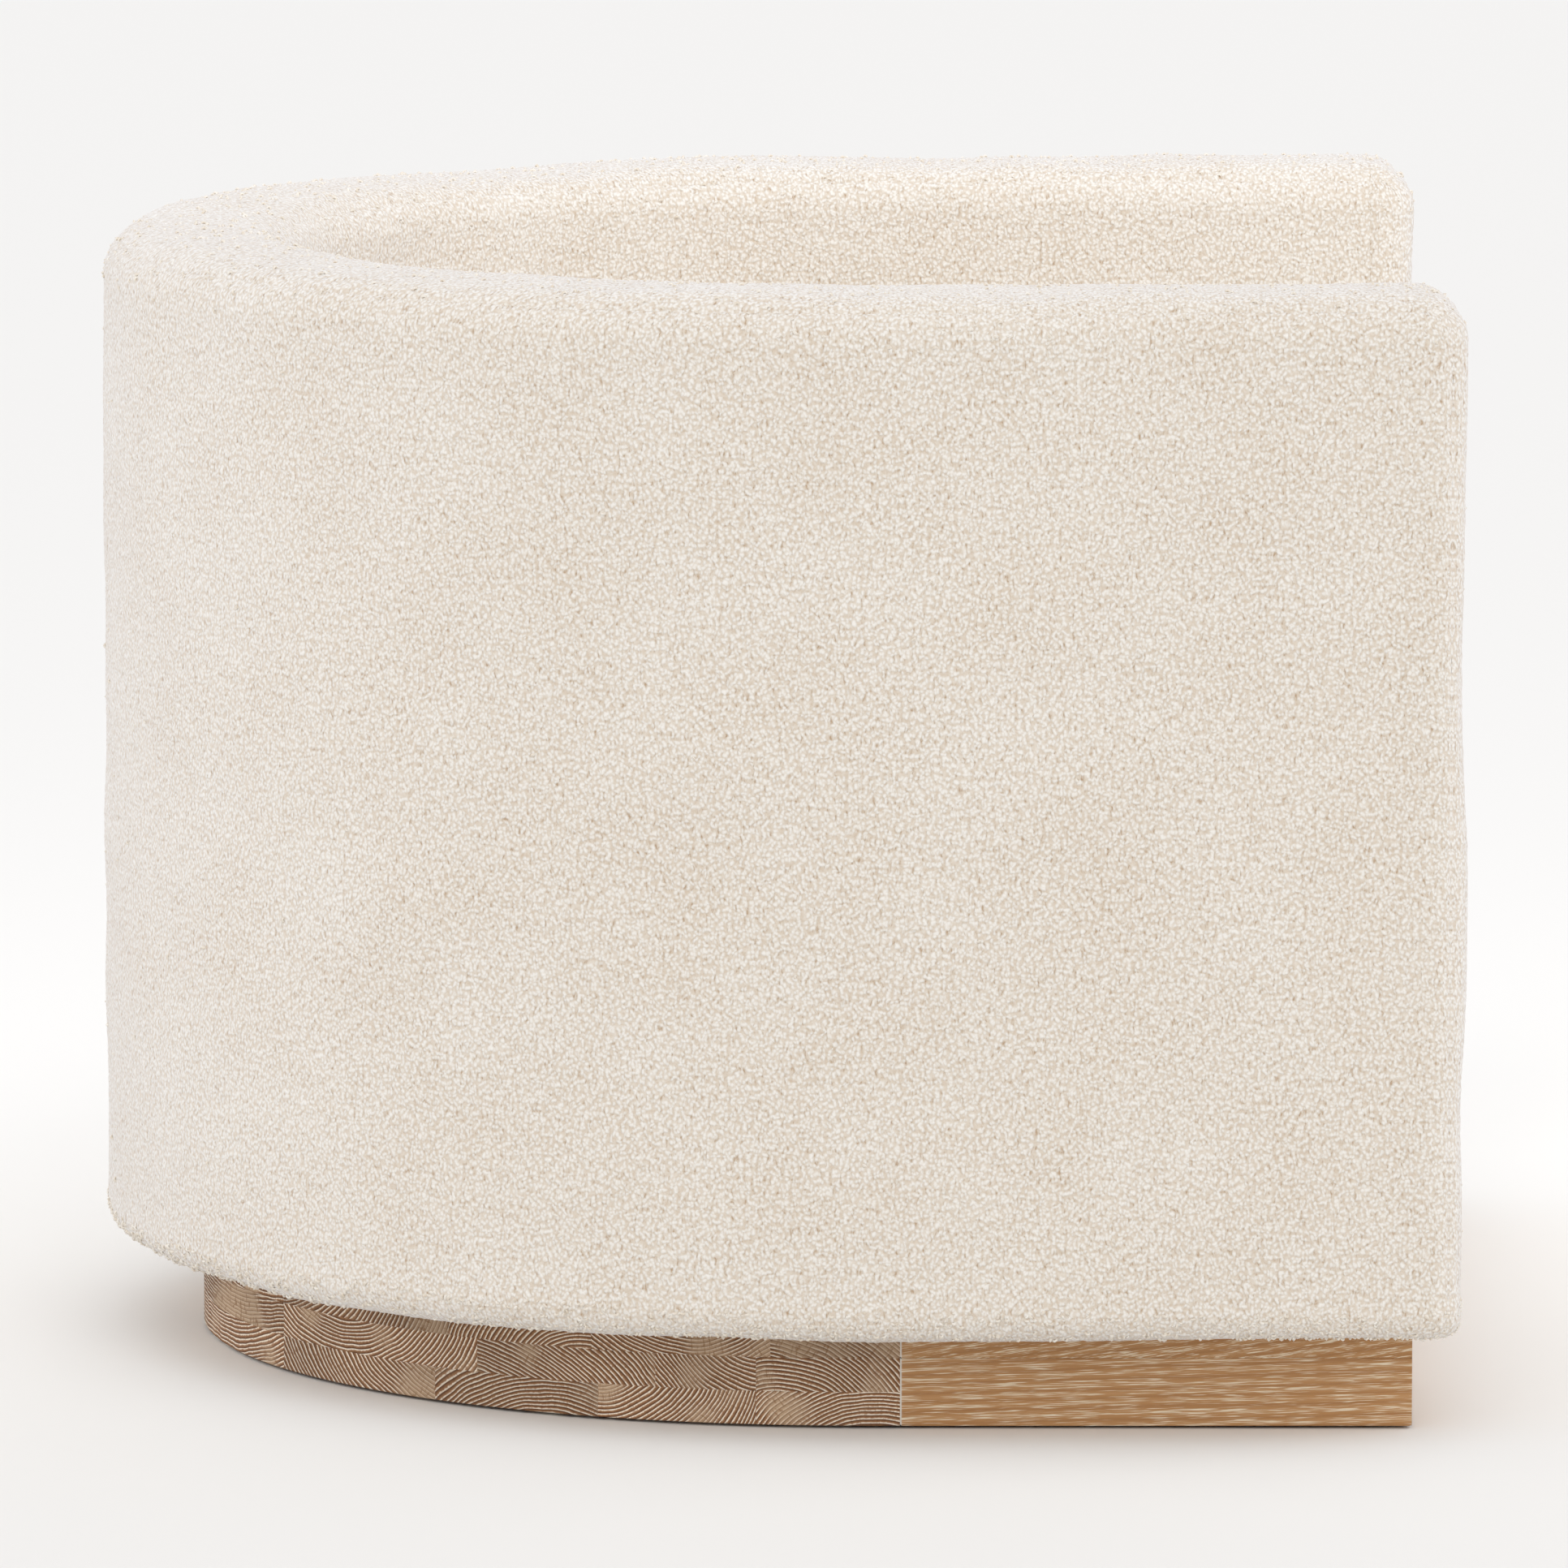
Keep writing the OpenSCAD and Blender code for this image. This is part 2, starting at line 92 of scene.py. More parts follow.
def linear(hex_colour: str) -> tuple[float, float, float, float]:
    """Turns an sRGB hex colour into linear RGBA.

    Args:
        hex_colour: six hex digits, such as "E8DFD0".

    Returns:
        Linear red, green, blue and an alpha of 1.
    """
    values = [int(hex_colour[i : i + 2], 16) / 255 for i in (0, 2, 4)]
    rgb = [v / 12.92 if v <= 0.04045 else ((v + 0.055) / 1.055) ** 2.4 for v in values]
    return (rgb[0], rgb[1], rgb[2], 1.0)


def add(
    tree: bpy.types.NodeTree,
    kind: str,
    inputs: dict | None = None,
    stops: list[tuple[float, str]] | None = None,
    **settings: object,
) -> bpy.types.Node:
    """Adds a node with its settings and links.

    Args:
        tree: the tree that gets the node.
        kind: the node's type name.
        inputs: value or source socket for each input, by name or index.
        stops: position and hex colour of each stop, where the node has a ramp.
        settings: values of the node's own properties.

    Returns:
        The new node.
    """
    node = tree.nodes.new(kind)
    for key, value in settings.items():
        setattr(node, key, value)
    for key, value in (inputs or {}).items():
        if isinstance(value, bpy.types.NodeSocket):
            tree.links.new(value, node.inputs[key])
        else:
            node.inputs[key].default_value = value
    if stops:
        elements = node.color_ramp.elements
        while len(elements) < len(stops):
            elements.new(1.0)
        for element, (place, colour) in zip(elements, stops):
            element.position = place
            element.color = linear(colour)
    return node


def new_material(name: str) -> tuple[bpy.types.Material, bpy.types.NodeTree, bpy.types.Node]:
    """Makes an empty node material with a Principled shader.

    Args:
        name: the material's name.

    Returns:
        The material, its tree and its shader node.
    """
    material = bpy.data.materials.new(name)
    material.use_nodes = True
    tree = material.node_tree
    tree.nodes.clear()
    shader = add(tree, "ShaderNodeBsdfPrincipled")
    add(tree, "ShaderNodeOutputMaterial", {"Surface": shader.outputs[0]})
    return material, tree, shader


def soft_noise(u: np.ndarray, v: np.ndarray, wavelength: float, seed: int) -> np.ndarray:
    """Smooth undulation: the mean of cosines of one wavelength in random directions.

    Args:
        u: first coordinate in metres.
        v: second coordinate in metres, of the same shape.
        wavelength: distance from crest to crest in metres.
        seed: picks the directions and phases.

    Returns:
        Values of about -1 to 1.
    """
    rng = np.random.default_rng(seed)
    waves = 9
    total = np.zeros(np.broadcast(u, v).shape)
    for turn, phase, scale in rng.random((waves, 3)):
        angle = 2 * math.pi * turn
        k = 2 * math.pi / (wavelength * (0.75 + 0.6 * scale))
        total += np.cos(k * (u * math.cos(angle) + v * math.sin(angle)) + 2 * math.pi * phase)
    return total / math.sqrt(waves)


def grid_normals(points: np.ndarray) -> np.ndarray:
    """Unit normals of a grid of points, from the cross product of its two slopes.

    Args:
        points: grid of points, in metres.

    Returns:
        One unit normal for each point.
    """
    du = np.gradient(points, axis=0)
    dv = np.gradient(points, axis=1)
    normal = np.cross(du, dv)
    return normal / np.maximum(np.linalg.norm(normal, axis=2, keepdims=True), 1e-12)


def run_length(points: np.ndarray) -> np.ndarray:
    """Distance from the first point of a row to each one, along the row."""
    return np.concatenate([[0.0], np.cumsum(np.linalg.norm(np.diff(points, axis=0), axis=1))])


def grid_faces(rows: int, columns: int, wrap: bool = False) -> np.ndarray:
    """Corner numbers of the quads between the points of a grid.

    Args:
        rows: points along the first axis.
        columns: points along the second axis.
        wrap: whether the last column joins the first one.

    Returns:
        One row of four corners for each quad.
    """
    last = columns if wrap else columns - 1
    i = np.arange(rows - 1)[:, None]
    j = np.arange(last)[None, :]
    k = (j + 1) % columns
    corners = [i * columns + j, (i + 1) * columns + j, (i + 1) * columns + k, i * columns + k]
    return np.stack([np.broadcast_to(c, (rows - 1, last)) for c in corners], -1).reshape(-1, 4)


def mesh_object(
    name: str,
    points: np.ndarray,
    quads: np.ndarray,
    uv: np.ndarray | None = None,
) -> bpy.types.Object:
    """Puts arrays of points and quads into a smooth mesh object at the origin.

    Args:
        name: the piece's name.
        points: one row for each vertex, in metres.
        quads: four vertex numbers for each face; a repeated one makes a triangle.
        uv: one UV for each vertex, in metres of cloth.

    Returns:
        The linked object.
    """
    mesh = bpy.data.meshes.new(name)
    triangle = quads[:, 3] == quads[:, 2]
    sizes = np.where(triangle, 3, 4)
    keep = np.ones(quads.shape, bool)
    keep[triangle, 3] = False
    corners = quads[keep]
    mesh.vertices.add(len(points))
    mesh.vertices.foreach_set("co", np.ascontiguousarray(points, np.float32).ravel())
    mesh.loops.add(len(corners))
    mesh.loops.foreach_set("vertex_index", corners.astype(np.int32))
    mesh.polygons.add(len(quads))
    starts = np.concatenate([[0], np.cumsum(sizes)[:-1]])
    mesh.polygons.foreach_set("loop_start", starts.astype(np.int32))
    mesh.update(calc_edges=True)
    if uv is not None:
        layer = mesh.uv_layers.new(name=CLOTH_UV)
        layer.data.foreach_set("uv", np.ascontiguousarray(uv[corners], np.float32).ravel())
    mesh.polygons.foreach_set("use_smooth", np.full(len(quads), True))
    mesh.validate()
    piece = bpy.data.objects.new(name, mesh)
    bpy.context.scene.collection.objects.link(piece)
    return piece


def turn_outwards(mesh: bpy.types.Mesh) -> None:
    """Turns the faces of a closed mesh outwards.

    Args:
        mesh: the mesh, which is changed in place.
    """
    work = bmesh.new()
    work.from_mesh(mesh)
    bmesh.ops.recalc_face_normals(work, faces=work.faces)
    work.to_mesh(mesh)
    work.free()


def settle(
    piece: bpy.types.Object, body: str, slot: Slot, material: bpy.types.Material, *nodes: str
) -> bpy.types.Object:
    """Dresses a piece, makes it ride on a body and hides the CAD nodes it stands for.

    Args:
        piece: the finished piece.
        body: the CAD body it moves with.
        slot: the record's material slot; not used.
        material: its finish.
        nodes: the CAD nodes it replaces.

    Returns:
        The piece.
    """
    piece.data.materials.append(material)
    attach(piece, body)
    if nodes:
        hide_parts(*nodes)
    LOG.info("%s: %d faces on %s", piece.name, len(piece.data.polygons), body)
    return piece


# ------------------------------------------------------------------- finishes


@dataclass(frozen=True)
class Boucle:
    """Wool boucle, woven with a looped yarn.

    It gives the eye soft cream nubs a few millimetres wide, lighter on their tops by painted highlight,
    short tan gaps that run upright between them, darker in part by painted shade, and a cool bloom where
    the pile is seen edge on.
    """

    loop_across: float = 2.5 * MM
    loop_along: float = 2.9 * MM
    curl: float = 1.2 * MM
    gap_across: float = 1.6 * MM
    gap_along: float = 5.5 * MM
    relief: float = 1.2 * MM

    def material(self) -> bpy.types.Material:
        """Builds the cloth's material on the piece's own UV map, in metres."""
        material, tree, shader = new_material("cream_wool_boucle")
        cloth = add(tree, "ShaderNodeUVMap", uv_map=CLOTH_UV).outputs["UV"]
        wander = add(
            tree,
            "ShaderNodeTexNoise",
            {"Vector": cloth, "Scale": 0.35 / self.loop_across, "Detail": 2.0},
        )
        bend = add(
            tree,
            "ShaderNodeVectorMath",
            {0: wander.outputs["Color"], 1: (0.5, 0.5, 0.5)},
            operation="SUBTRACT",
        )
        shift = add(
            tree, "ShaderNodeVectorMath", {0: bend.outputs[0], "Scale": 3.5 * MM}, operation="SCALE"
        )
        place = add(
            tree, "ShaderNodeVectorMath", {0: cloth, 1: shift.outputs[0]}, operation="ADD"
        ).outputs[0]
        loop_place = add(
            tree,
            "ShaderNodeMapping",
            {"Vector": place, "Scale": (1 / self.loop_across, 1 / self.loop_along, 1)},
        )
        loops = add(
            tree,
            "ShaderNodeTexVoronoi",
            {"Vector": loop_place.outputs[0], "Scale": 1.0, "Randomness": 1.0, "Smoothness": 0.5},
            voronoi_dimensions="2D",
            feature="SMOOTH_F1",
        )
        round_top = add(
            tree,
            "ShaderNodeMapRange",
            {"Value": loops.outputs["Distance"], "From Min": 0.62, "From Max": 0.12},
            interpolation_type="SMOOTHSTEP",
        )
        curls = add(
            tree,
            "ShaderNodeTexNoise",
            {"Vector": place, "Scale": 0.5 / self.curl, "Detail": 2.0, "Roughness": 0.5},
        )
        gap_place = add(
            tree,
            "ShaderNodeMapping",
            {"Vector": place, "Scale": (1 / self.gap_across, 1 / self.gap_along, 1)},
        )
        gaps = add(
            tree,
            "ShaderNodeTexNoise",
            {"Vector": gap_place.outputs[0], "Scale": 0.85, "Detail": 2.5, "Roughness": 0.6},
        )
        gap = add(
            tree,
            "ShaderNodeMapRange",
            {"Value": gaps.outputs["Fac"], "From Min": 0.53, "From Max": 0.73},
            interpolation_type="SMOOTHSTEP",
        )
        curled = add(
            tree, "ShaderNodeMath", {0: round_top.outputs[0], 1: 0.62, 2: curls.outputs["Fac"]},
            operation="MULTIPLY_ADD",
        )
        height = add(
            tree,
            "ShaderNodeMath",
            {0: gap.outputs[0], 1: -0.45, 2: curled.outputs[0]},
            operation="MULTIPLY_ADD",
        )
        patches = add(
            tree,
            "ShaderNodeTexNoise",
            {"Vector": cloth, "Scale": 11.0, "Detail": 4.0, "Roughness": 0.6},
        )
        tone = add(
            tree, "ShaderNodeMath", {0: patches.outputs["Fac"], 1: 0.34, 2: height.outputs[0]},
            operation="MULTIPLY_ADD",
        )
        # Painted shade and highlight: the colour follows the pile's height. It is tan in the low gaps,
        # partly the ground yarn's own tone and partly painted shade, and near white on the loop tops, a
        # painted highlight.
        colour = add(
            tree,
            "ShaderNodeValToRGB",
            {
                "Fac": add(
                    tree, "ShaderNodeMath", {0: tone.outputs[0], 1: 0.68}, operation="MULTIPLY"
                ).outputs[0],
            },
            stops=[(0.10, "BCA082"), (0.32, "D5C5B1"), (0.54, "E2D8CA"), (0.90, "F3EFE8")],
        )
        bump = add(
            tree,
            "ShaderNodeBump",
            {"Height": height.outputs[0], "Strength": 0.6, "Distance": self.relief},
        )
        tree.links.new(colour.outputs["Color"], shader.inputs["Base Color"])
        tree.links.new(bump.outputs["Normal"], shader.inputs["Normal"])
        shader.inputs["Roughness"].default_value = 0.95
        shader.inputs["Specular IOR Level"].default_value = 0.1
        shader.inputs["Sheen Weight"].default_value = 0.6
        shader.inputs["Sheen Roughness"].default_value = 0.6
        shader.inputs["Sheen Tint"].default_value = linear("DEE2EC")
        return material

    def yarn(self) -> bpy.types.Material:
        """Builds the finish of single loops of yarn, which are too small for the weave."""
        material, tree, shader = new_material("loose_boucle_yarn")
        place = add(tree, "ShaderNodeTexCoord").outputs["Object"]
        noise = add(tree, "ShaderNodeTexNoise", {"Vector": place, "Scale": 260.0, "Detail": 2.0})
        colour = add(
            tree,
            "ShaderNodeValToRGB",
            {"Fac": noise.outputs["Fac"]},
            stops=[(0.3, "E2D6C4"), (0.7, "F6F2EA")],
        )
        tree.links.new(colour.outputs["Color"], shader.inputs["Base Color"])
        shader.inputs["Roughness"].default_value = 0.95
        shader.inputs["Specular IOR Level"].default_value = 0.1
        shader.inputs["Sheen Weight"].default_value = 0.5
        return material


@dataclass(frozen=True)
class LimedEndGrain:
    """Oak sawn across the grain, brushed and rubbed with white lime wax.

    It gives the eye curved growth rings: thin cream lines where the lime fills the
    open early wood, broken into beads by the rays, on brown late wood. Some staves
    fade to pale wood with fine brown cross lines.
    """

    ring: float = 2.6 * MM
    bead: float = 1.2 * MM

    def material(self) -> bpy.types.Material:
        """Builds rings round each stave's own pith, which runs along X.

        The ring number is the distance from the pith over the ring's width, its
        fraction the place in that ring. The rays are noise that changes with the
        angle round the pith only.
        """
        material, tree, shader = new_material("limed_oak_end_grain")
        place = add(tree, "ShaderNodeTexCoord").outputs["Object"]
        pith = add(tree, "ShaderNodeAttribute", attribute_name=PITH).outputs["Vector"]
        wobble = add(
            tree,
            "ShaderNodeTexNoise",
            {"Vector": place, "Scale": 13.0, "Detail": 3.0, "Roughness": 0.5},
        )
        centred = add(
            tree,
            "ShaderNodeVectorMath",
            {0: wobble.outputs["Color"], 1: (0.5, 0.5, 0.5)},
            operation="SUBTRACT",
        )
        shift = add(
            tree, "ShaderNodeVectorMath", {0: centred.outputs[0], "Scale": 13 * MM}, operation="SCALE"
        )
        moved = add(tree, "ShaderNodeVectorMath", {0: place, 1: shift.outputs[0]}, operation="ADD")
        arm = add(tree, "ShaderNodeVectorMath", {0: moved.outputs[0], 1: pith}, operation="SUBTRACT")
        flat = add(tree, "ShaderNodeVectorMath", {0: arm.outputs[0], 1: (0.0, 1, 1)}, operation="MULTIPLY")
        radius = add(tree, "ShaderNodeVectorMath", {0: flat.outputs[0]}, operation="LENGTH")
        years = add(
            tree,
            "ShaderNodeTexNoise",
            {
                "W": add(
                    tree, "ShaderNodeMath", {0: radius.outputs["Value"], 1: 32.0}, operation="MULTIPLY"
                ).outputs[0],
                "Scale": 1.0,
                "Detail": 1.0,
            },
            noise_dimensions="1D",
        )
        plain_count = add(
            tree, "ShaderNodeMath", {0: radius.outputs["Value"], 1: self.ring}, operation="DIVIDE"
        )
        count = add(
            tree, "ShaderNodeMath", {0: years.outputs["Fac"], 1: 2.2, 2: plain_count.outputs[0]},
            operation="MULTIPLY_ADD",
        )
        phase = add(tree, "ShaderNodeMath", {0: count.outputs[0]}, operation="FRACT")
        parts = add(tree, "ShaderNodeSeparateXYZ", {0: flat.outputs[0]})
        turn = add(
            tree, "ShaderNodeMath", {0: parts.outputs["Z"], 1: parts.outputs["Y"]}, operation="ARCTAN2"
        )
        fan = add(
            tree,
            "ShaderNodeCombineXYZ",
            {
                0: add(
                    tree, "ShaderNodeMath", {0: turn.outputs[0], 1: 60.0}, operation="MULTIPLY"
                ).outputs[0],
                1: add(
                    tree, "ShaderNodeMath", {0: count.outputs[0], 1: 0.35}, operation="MULTIPLY"
                ).outputs[0],
            },
        )
        rays = add(
            tree,
            "ShaderNodeTexNoise",
            {"Vector": fan.outputs[0], "Scale": 1.0, "Detail": 2.0, "Roughness": 0.55},
        )
        ray = add(
            tree, "ShaderNodeMapRange", {"Value": rays.outputs["Fac"], "From Min": 0.54, "From Max": 0.66},
            interpolation_type="SMOOTHSTEP",
        )
        specks = add(
            tree, "ShaderNodeTexNoise", {"Vector": place, "Scale": 0.55 / self.bead, "Detail": 2.0}
        )
        edge = add(
            tree, "ShaderNodeMath", {0: specks.outputs["Fac"], 1: 0.42, 2: phase.outputs[0]},
            operation="MULTIPLY_ADD",
        )
        lime = add(
            tree, "ShaderNodeMapRange", {"Value": edge.outputs[0], "From Min": 0.62, "From Max": 0.40},
            interpolation_type="SMOOTHSTEP",
        )
        beads = add(tree, "ShaderNodeMath", {0: ray.outputs[0], 1: -0.55, 2: 1.0}, operation="MULTIPLY_ADD")
        filled = add(
            tree, "ShaderNodeMath", {0: lime.outputs[0], 1: beads.outputs[0]}, operation="MULTIPLY"
        )
        late = add(
            tree, "ShaderNodeValToRGB", {"Fac": edge.outputs[0]},
            stops=[(0.40, "A97D57"), (0.80, "926845"), (1.0, "6D4A33")],
        )
        ringed = add(
            tree,
            "ShaderNodeMix",
            {"Factor": filled.outputs[0], "A": late.outputs["Color"], "B": linear("F0E4D2")},
            data_type="RGBA",
        )
        cross = add(
            tree,
            "ShaderNodeMath",
            {
                0: add(
                    tree,
                    "ShaderNodeMapRange",
                    {"Value": edge.outputs[0], "From Min": 0.85, "From Max": 1.15},
                ).outputs[0],
                1: ray.outputs[0],
            },
            operation="MAXIMUM",
        )
        hatched = add(
            tree,
            "ShaderNodeMix",
            {"Factor": cross.outputs[0], "A": linear("C9AF92"), "B": linear("9F7E5E")},
            data_type="RGBA",
        )
        zone_place = add(tree, "ShaderNodeVectorMath", {0: place, 1: pith}, operation="ADD")
        zones = add(
            tree, "ShaderNodeTexNoise", {"Vector": zone_place.outputs[0], "Scale": 17.0, "Detail": 1.0}
        )
        zone = add(
            tree, "ShaderNodeMapRange",
            {"Value": zones.outputs["Fac"], "From Min": 0.52, "From Max": 0.66, "To Max": 0.8},
            interpolation_type="SMOOTHSTEP",
        )
        mixed = add(
            tree,
            "ShaderNodeMix",
            {"Factor": zone.outputs[0], "A": ringed.outputs["Result"], "B": hatched.outputs["Result"]},
            data_type="RGBA",
        )
        blotch = add(
            tree, "ShaderNodeTexNoise", {"Vector": zone_place.outputs[0], "Scale": 8.0, "Detail": 1.0}
        )
        shade = add(
            tree,
            "ShaderNodeMapRange",
            {
                "Value": blotch.outputs["Fac"],
                "From Min": 0.3,
                "From Max": 0.7,
                "To Min": 0.78,
                "To Max": 1.14,
            },
        )
        colour = add(
            tree,
            "ShaderNodeVectorMath",
            {0: mixed.outputs["Result"], "Scale": shade.outputs[0]},
            operation="SCALE",
        )
        bump = add(
            tree, "ShaderNodeBump", {"Height": edge.outputs[0], "Strength": 0.3, "Distance": 0.3 * MM}
        )
        tree.links.new(colour.outputs[0], shader.inputs["Base Color"])
        tree.links.new(bump.outputs["Normal"], shader.inputs["Normal"])
        shader.inputs["Roughness"].default_value = 0.72
        shader.inputs["Specular IOR Level"].default_value = 0.3
        return material


@dataclass(frozen=True)
class LimedLongGrain:
    """Oak sawn along the grain, brushed and rubbed with white lime wax.

    It gives the eye honey brown wood with thin cream streaks where the lime fills
    the long pores, and broad flames where the rings run out of the face.
    """

    pore_width: float = 0.52 * MM
    pore_length: float = 24.0 * MM
    flame: float = 3.4 * MM
    slant: float = 0.11
    shorter: float = 1.0

    def material(self, name: str, along_x: bool, seam: float | None = None) -> bpy.types.Material:
        """Builds the long grain.

        Args:
            name: the material's name.
            along_x: whether the grain runs along X, and otherwise along Y.
            seam: Y of a lime-filled joint at the boards' back end, if they have one.

        Returns:
            The material.
        """
        material, tree, shader = new_material(name)
        place = add(tree, "ShaderNodeTexCoord").outputs["Object"]
        pith = add(tree, "ShaderNodeAttribute", attribute_name=PITH).outputs["Vector"]
        quarter = math.pi / 2 if along_x else 0.0
        turned = add(tree, "ShaderNodeMapping", {"Vector": place, "Rotation": (0.0, 0.0, quarter)})
        moved = add(tree, "ShaderNodeVectorMath", {0: turned.outputs[0], 1: pith}, operation="ADD")
        layer = add(tree, "ShaderNodeSeparateXYZ", {0: pith}).outputs["Z"]
        slant = add(
            tree,
            "ShaderNodeCombineXYZ",
            {
                0: add(
                    tree, "ShaderNodeMath", {0: layer, 1: self.slant, 2: 0.03}, operation="MULTIPLY_ADD"
                ).outputs[0],
            },
        )
        lay = add(tree, "ShaderNodeMapping", {"Vector": moved.outputs[0], "Rotation": slant.outputs[0]})
        squeeze = add(
            tree, "ShaderNodeCombineXYZ",
            {0: 1.0, 1: add(tree, "ShaderNodeMath", {0: layer, 1: self.shorter, 2: 1.0},
                            operation="MULTIPLY_ADD").outputs[0], 2: 1.0},
        )
        wood = add(
            tree, "ShaderNodeVectorMath", {0: lay.outputs[0], 1: squeeze.outputs[0]}, operation="MULTIPLY"
        ).outputs[0]
        slow = add(tree, "ShaderNodeMapping", {"Vector": wood, "Scale": (30.0, 3.0, 40.0)})
        drift = add(tree, "ShaderNodeTexNoise", {"Vector": slow.outputs[0], "Scale": 1.0, "Detail": 2.0})
        height = add(tree, "ShaderNodeSeparateXYZ", {0: wood})
        lift = add(
            tree, "ShaderNodeMath", {0: drift.outputs["Fac"], 1: 3.0 * self.flame, 2: height.outputs["Z"]},
            operation="MULTIPLY_ADD",
        )
        rings = add(
            tree,
            "ShaderNodeMath",
            {
                0: add(
                    tree, "ShaderNodeMath", {0: lift.outputs[0], 1: self.flame}, operation="DIVIDE"
                ).outputs[0],
                1: 1.0,
            },
            operation="PINGPONG",
        )
        pores_at = add(
            tree,
            "ShaderNodeMapping",
            {"Vector": wood, "Scale": (1.1 / self.pore_width, 1 / self.pore_length, 1.1 / self.pore_width)},
        )
        pores = add(
            tree,
            "ShaderNodeTexNoise",
            {"Vector": pores_at.outputs[0], "Scale": 1.0, "Detail": 2.0, "Roughness": 0.5},
        )
        gate = add(
            tree,
            "ShaderNodeMath",
            {0: rings.outputs[0], 1: 0.10, 2: pores.outputs["Fac"]},
            operation="MULTIPLY_ADD",
        )
        lime = add(
            tree,
            "ShaderNodeMapRange",
            {"Value": gate.outputs[0], "From Min": 0.59, "From Max": 0.70},
            interpolation_type="SMOOTHSTEP",
        )
        fibre_at = add(tree, "ShaderNodeMapping", {"Vector": wood, "Scale": (1100.0, 22.0, 1100.0)})
        fibre = add(
            tree, "ShaderNodeTexNoise", {"Vector": fibre_at.outputs[0], "Scale": 1.0, "Detail": 2.0}
        )
        tone = add(
            tree,
            "ShaderNodeMath",
            {0: fibre.outputs["Fac"], 1: 0.7, 2: rings.outputs[0]},
            operation="MULTIPLY_ADD",
        )
        honey = add(
            tree,
            "ShaderNodeValToRGB",
            {
                "Fac": add(
                    tree, "ShaderNodeMath", {0: tone.outputs[0], 1: 0.6}, operation="MULTIPLY"
                ).outputs[0],
            },
            stops=[(0.15, "A87A4E"), (0.45, "B68858"), (0.85, "BF9365")],
        )
        colour = add(
            tree,
            "ShaderNodeMix",
            {"Factor": lime.outputs[0], "A": honey.outputs["Color"], "B": linear("EBDDC3")},
            data_type="RGBA",
        )
        result = colour.outputs["Result"]
        if seam is not None:
            where = add(tree, "ShaderNodeSeparateXYZ", {0: place})
            edge = add(
                tree,
                "ShaderNodeMapRange",
                {"Value": where.outputs["Y"], "From Min": seam - 1.4 * MM, "From Max": seam - 0.8 * MM},
            )
            result = add(
                tree,
                "ShaderNodeMix",
                {"Factor": edge.outputs[0], "A": result, "B": linear("DDD6CC")},
                data_type="RGBA",
            ).outputs["Result"]
        bump = add(
            tree,
            "ShaderNodeBump",
            {"Height": gate.outputs[0], "Strength": 0.4, "Distance": 0.25 * MM},
            invert=True,
        )
        tree.links.new(result, shader.inputs["Base Color"])
        tree.links.new(bump.outputs["Normal"], shader.inputs["Normal"])
        shader.inputs["Roughness"].default_value = 0.6
        shader.inputs["Specular IOR Level"].default_value = 0.35
        return material


@dataclass(frozen=True)
class Plain:
    """A finish of one colour with a grain of its own scale, for parts that hardly show.

    It gives the eye a matt or satin surface that is never quite even.
    """

    name: str
    dark: str
    light: str
    grain: float
    stretch: tuple[float, float, float] = (1.0, 1.0, 1.0)
    roughness: float = 0.8
    metallic: float = 0.0
    relief: float = 0.2 * MM

    def material(self) -> bpy.types.Material:
        """Builds the finish on Object coordinates."""
        material, tree, shader = new_material(self.name)
        place = add(tree, "ShaderNodeTexCoord").outputs["Object"]
        scaled = add(
            tree,
            "ShaderNodeMapping",
            {"Vector": place, "Scale": tuple(s / self.grain for s in self.stretch)},
        )
        noise = add(tree, "ShaderNodeTexNoise", {"Vector": scaled.outputs[0], "Scale": 1.0, "Detail": 4.0})
        colour = add(
            tree,
            "ShaderNodeValToRGB",
            {"Fac": noise.outputs["Fac"]},
            stops=[(0.3, self.dark), (0.7, self.light)],
        )
        bump = add(
            tree,
            "ShaderNodeBump",
            {"Height": noise.outputs["Fac"], "Strength": 0.4, "Distance": self.relief},
        )
        tree.links.new(colour.outputs["Color"], shader.inputs["Base Color"])
        tree.links.new(bump.outputs["Normal"], shader.inputs["Normal"])
        shader.inputs["Roughness"].default_value = self.roughness
        shader.inputs["Metallic"].default_value = self.metallic
        return material


# ------------------------------------------------------------- the padded wall


@dataclass(frozen=True)
class WallSizes:
    """Sizes of the padded wall, read from the frame."""

    r_out: float
    r_in: float
    y_arc: float
    y_front: float
    edge_r: float
    hem_r: float
    z_hem: float
    z_rail: float
    z_deck: float

    @classmethod
    def from_frame(cls) -> "WallSizes":
        """Reads the wall's sizes from the CAD nodes."""
        low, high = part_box("outside_cover")
        rail_low, rail_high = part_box("top_cover")
        front_low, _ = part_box("arm_front_cover_right")
        return cls(
            r_out=high.x,
            r_in=front_low.x,
            y_arc=high.y - high.x,
            y_front=front_low.y,
            edge_r=rail_high.z - rail_low.z,
            hem_r=high.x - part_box("outer_panel")[1].x,
            z_hem=low.z,
            z_rail=rail_low.z,
            z_deck=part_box("deck_cover")[1].z,
        )


@dataclass
class PlanLine:
    """A line round the sofa in plan: core points, outward directions and lengths.

    The cloth lies one edge radius outside the core. Corner is the angle of a front
    corner there, 0 where the line faces sideways and 90 degrees where it faces
    forward.
    """

    core: np.ndarray
    out: np.ndarray
    corner: np.ndarray
    length: np.ndarray


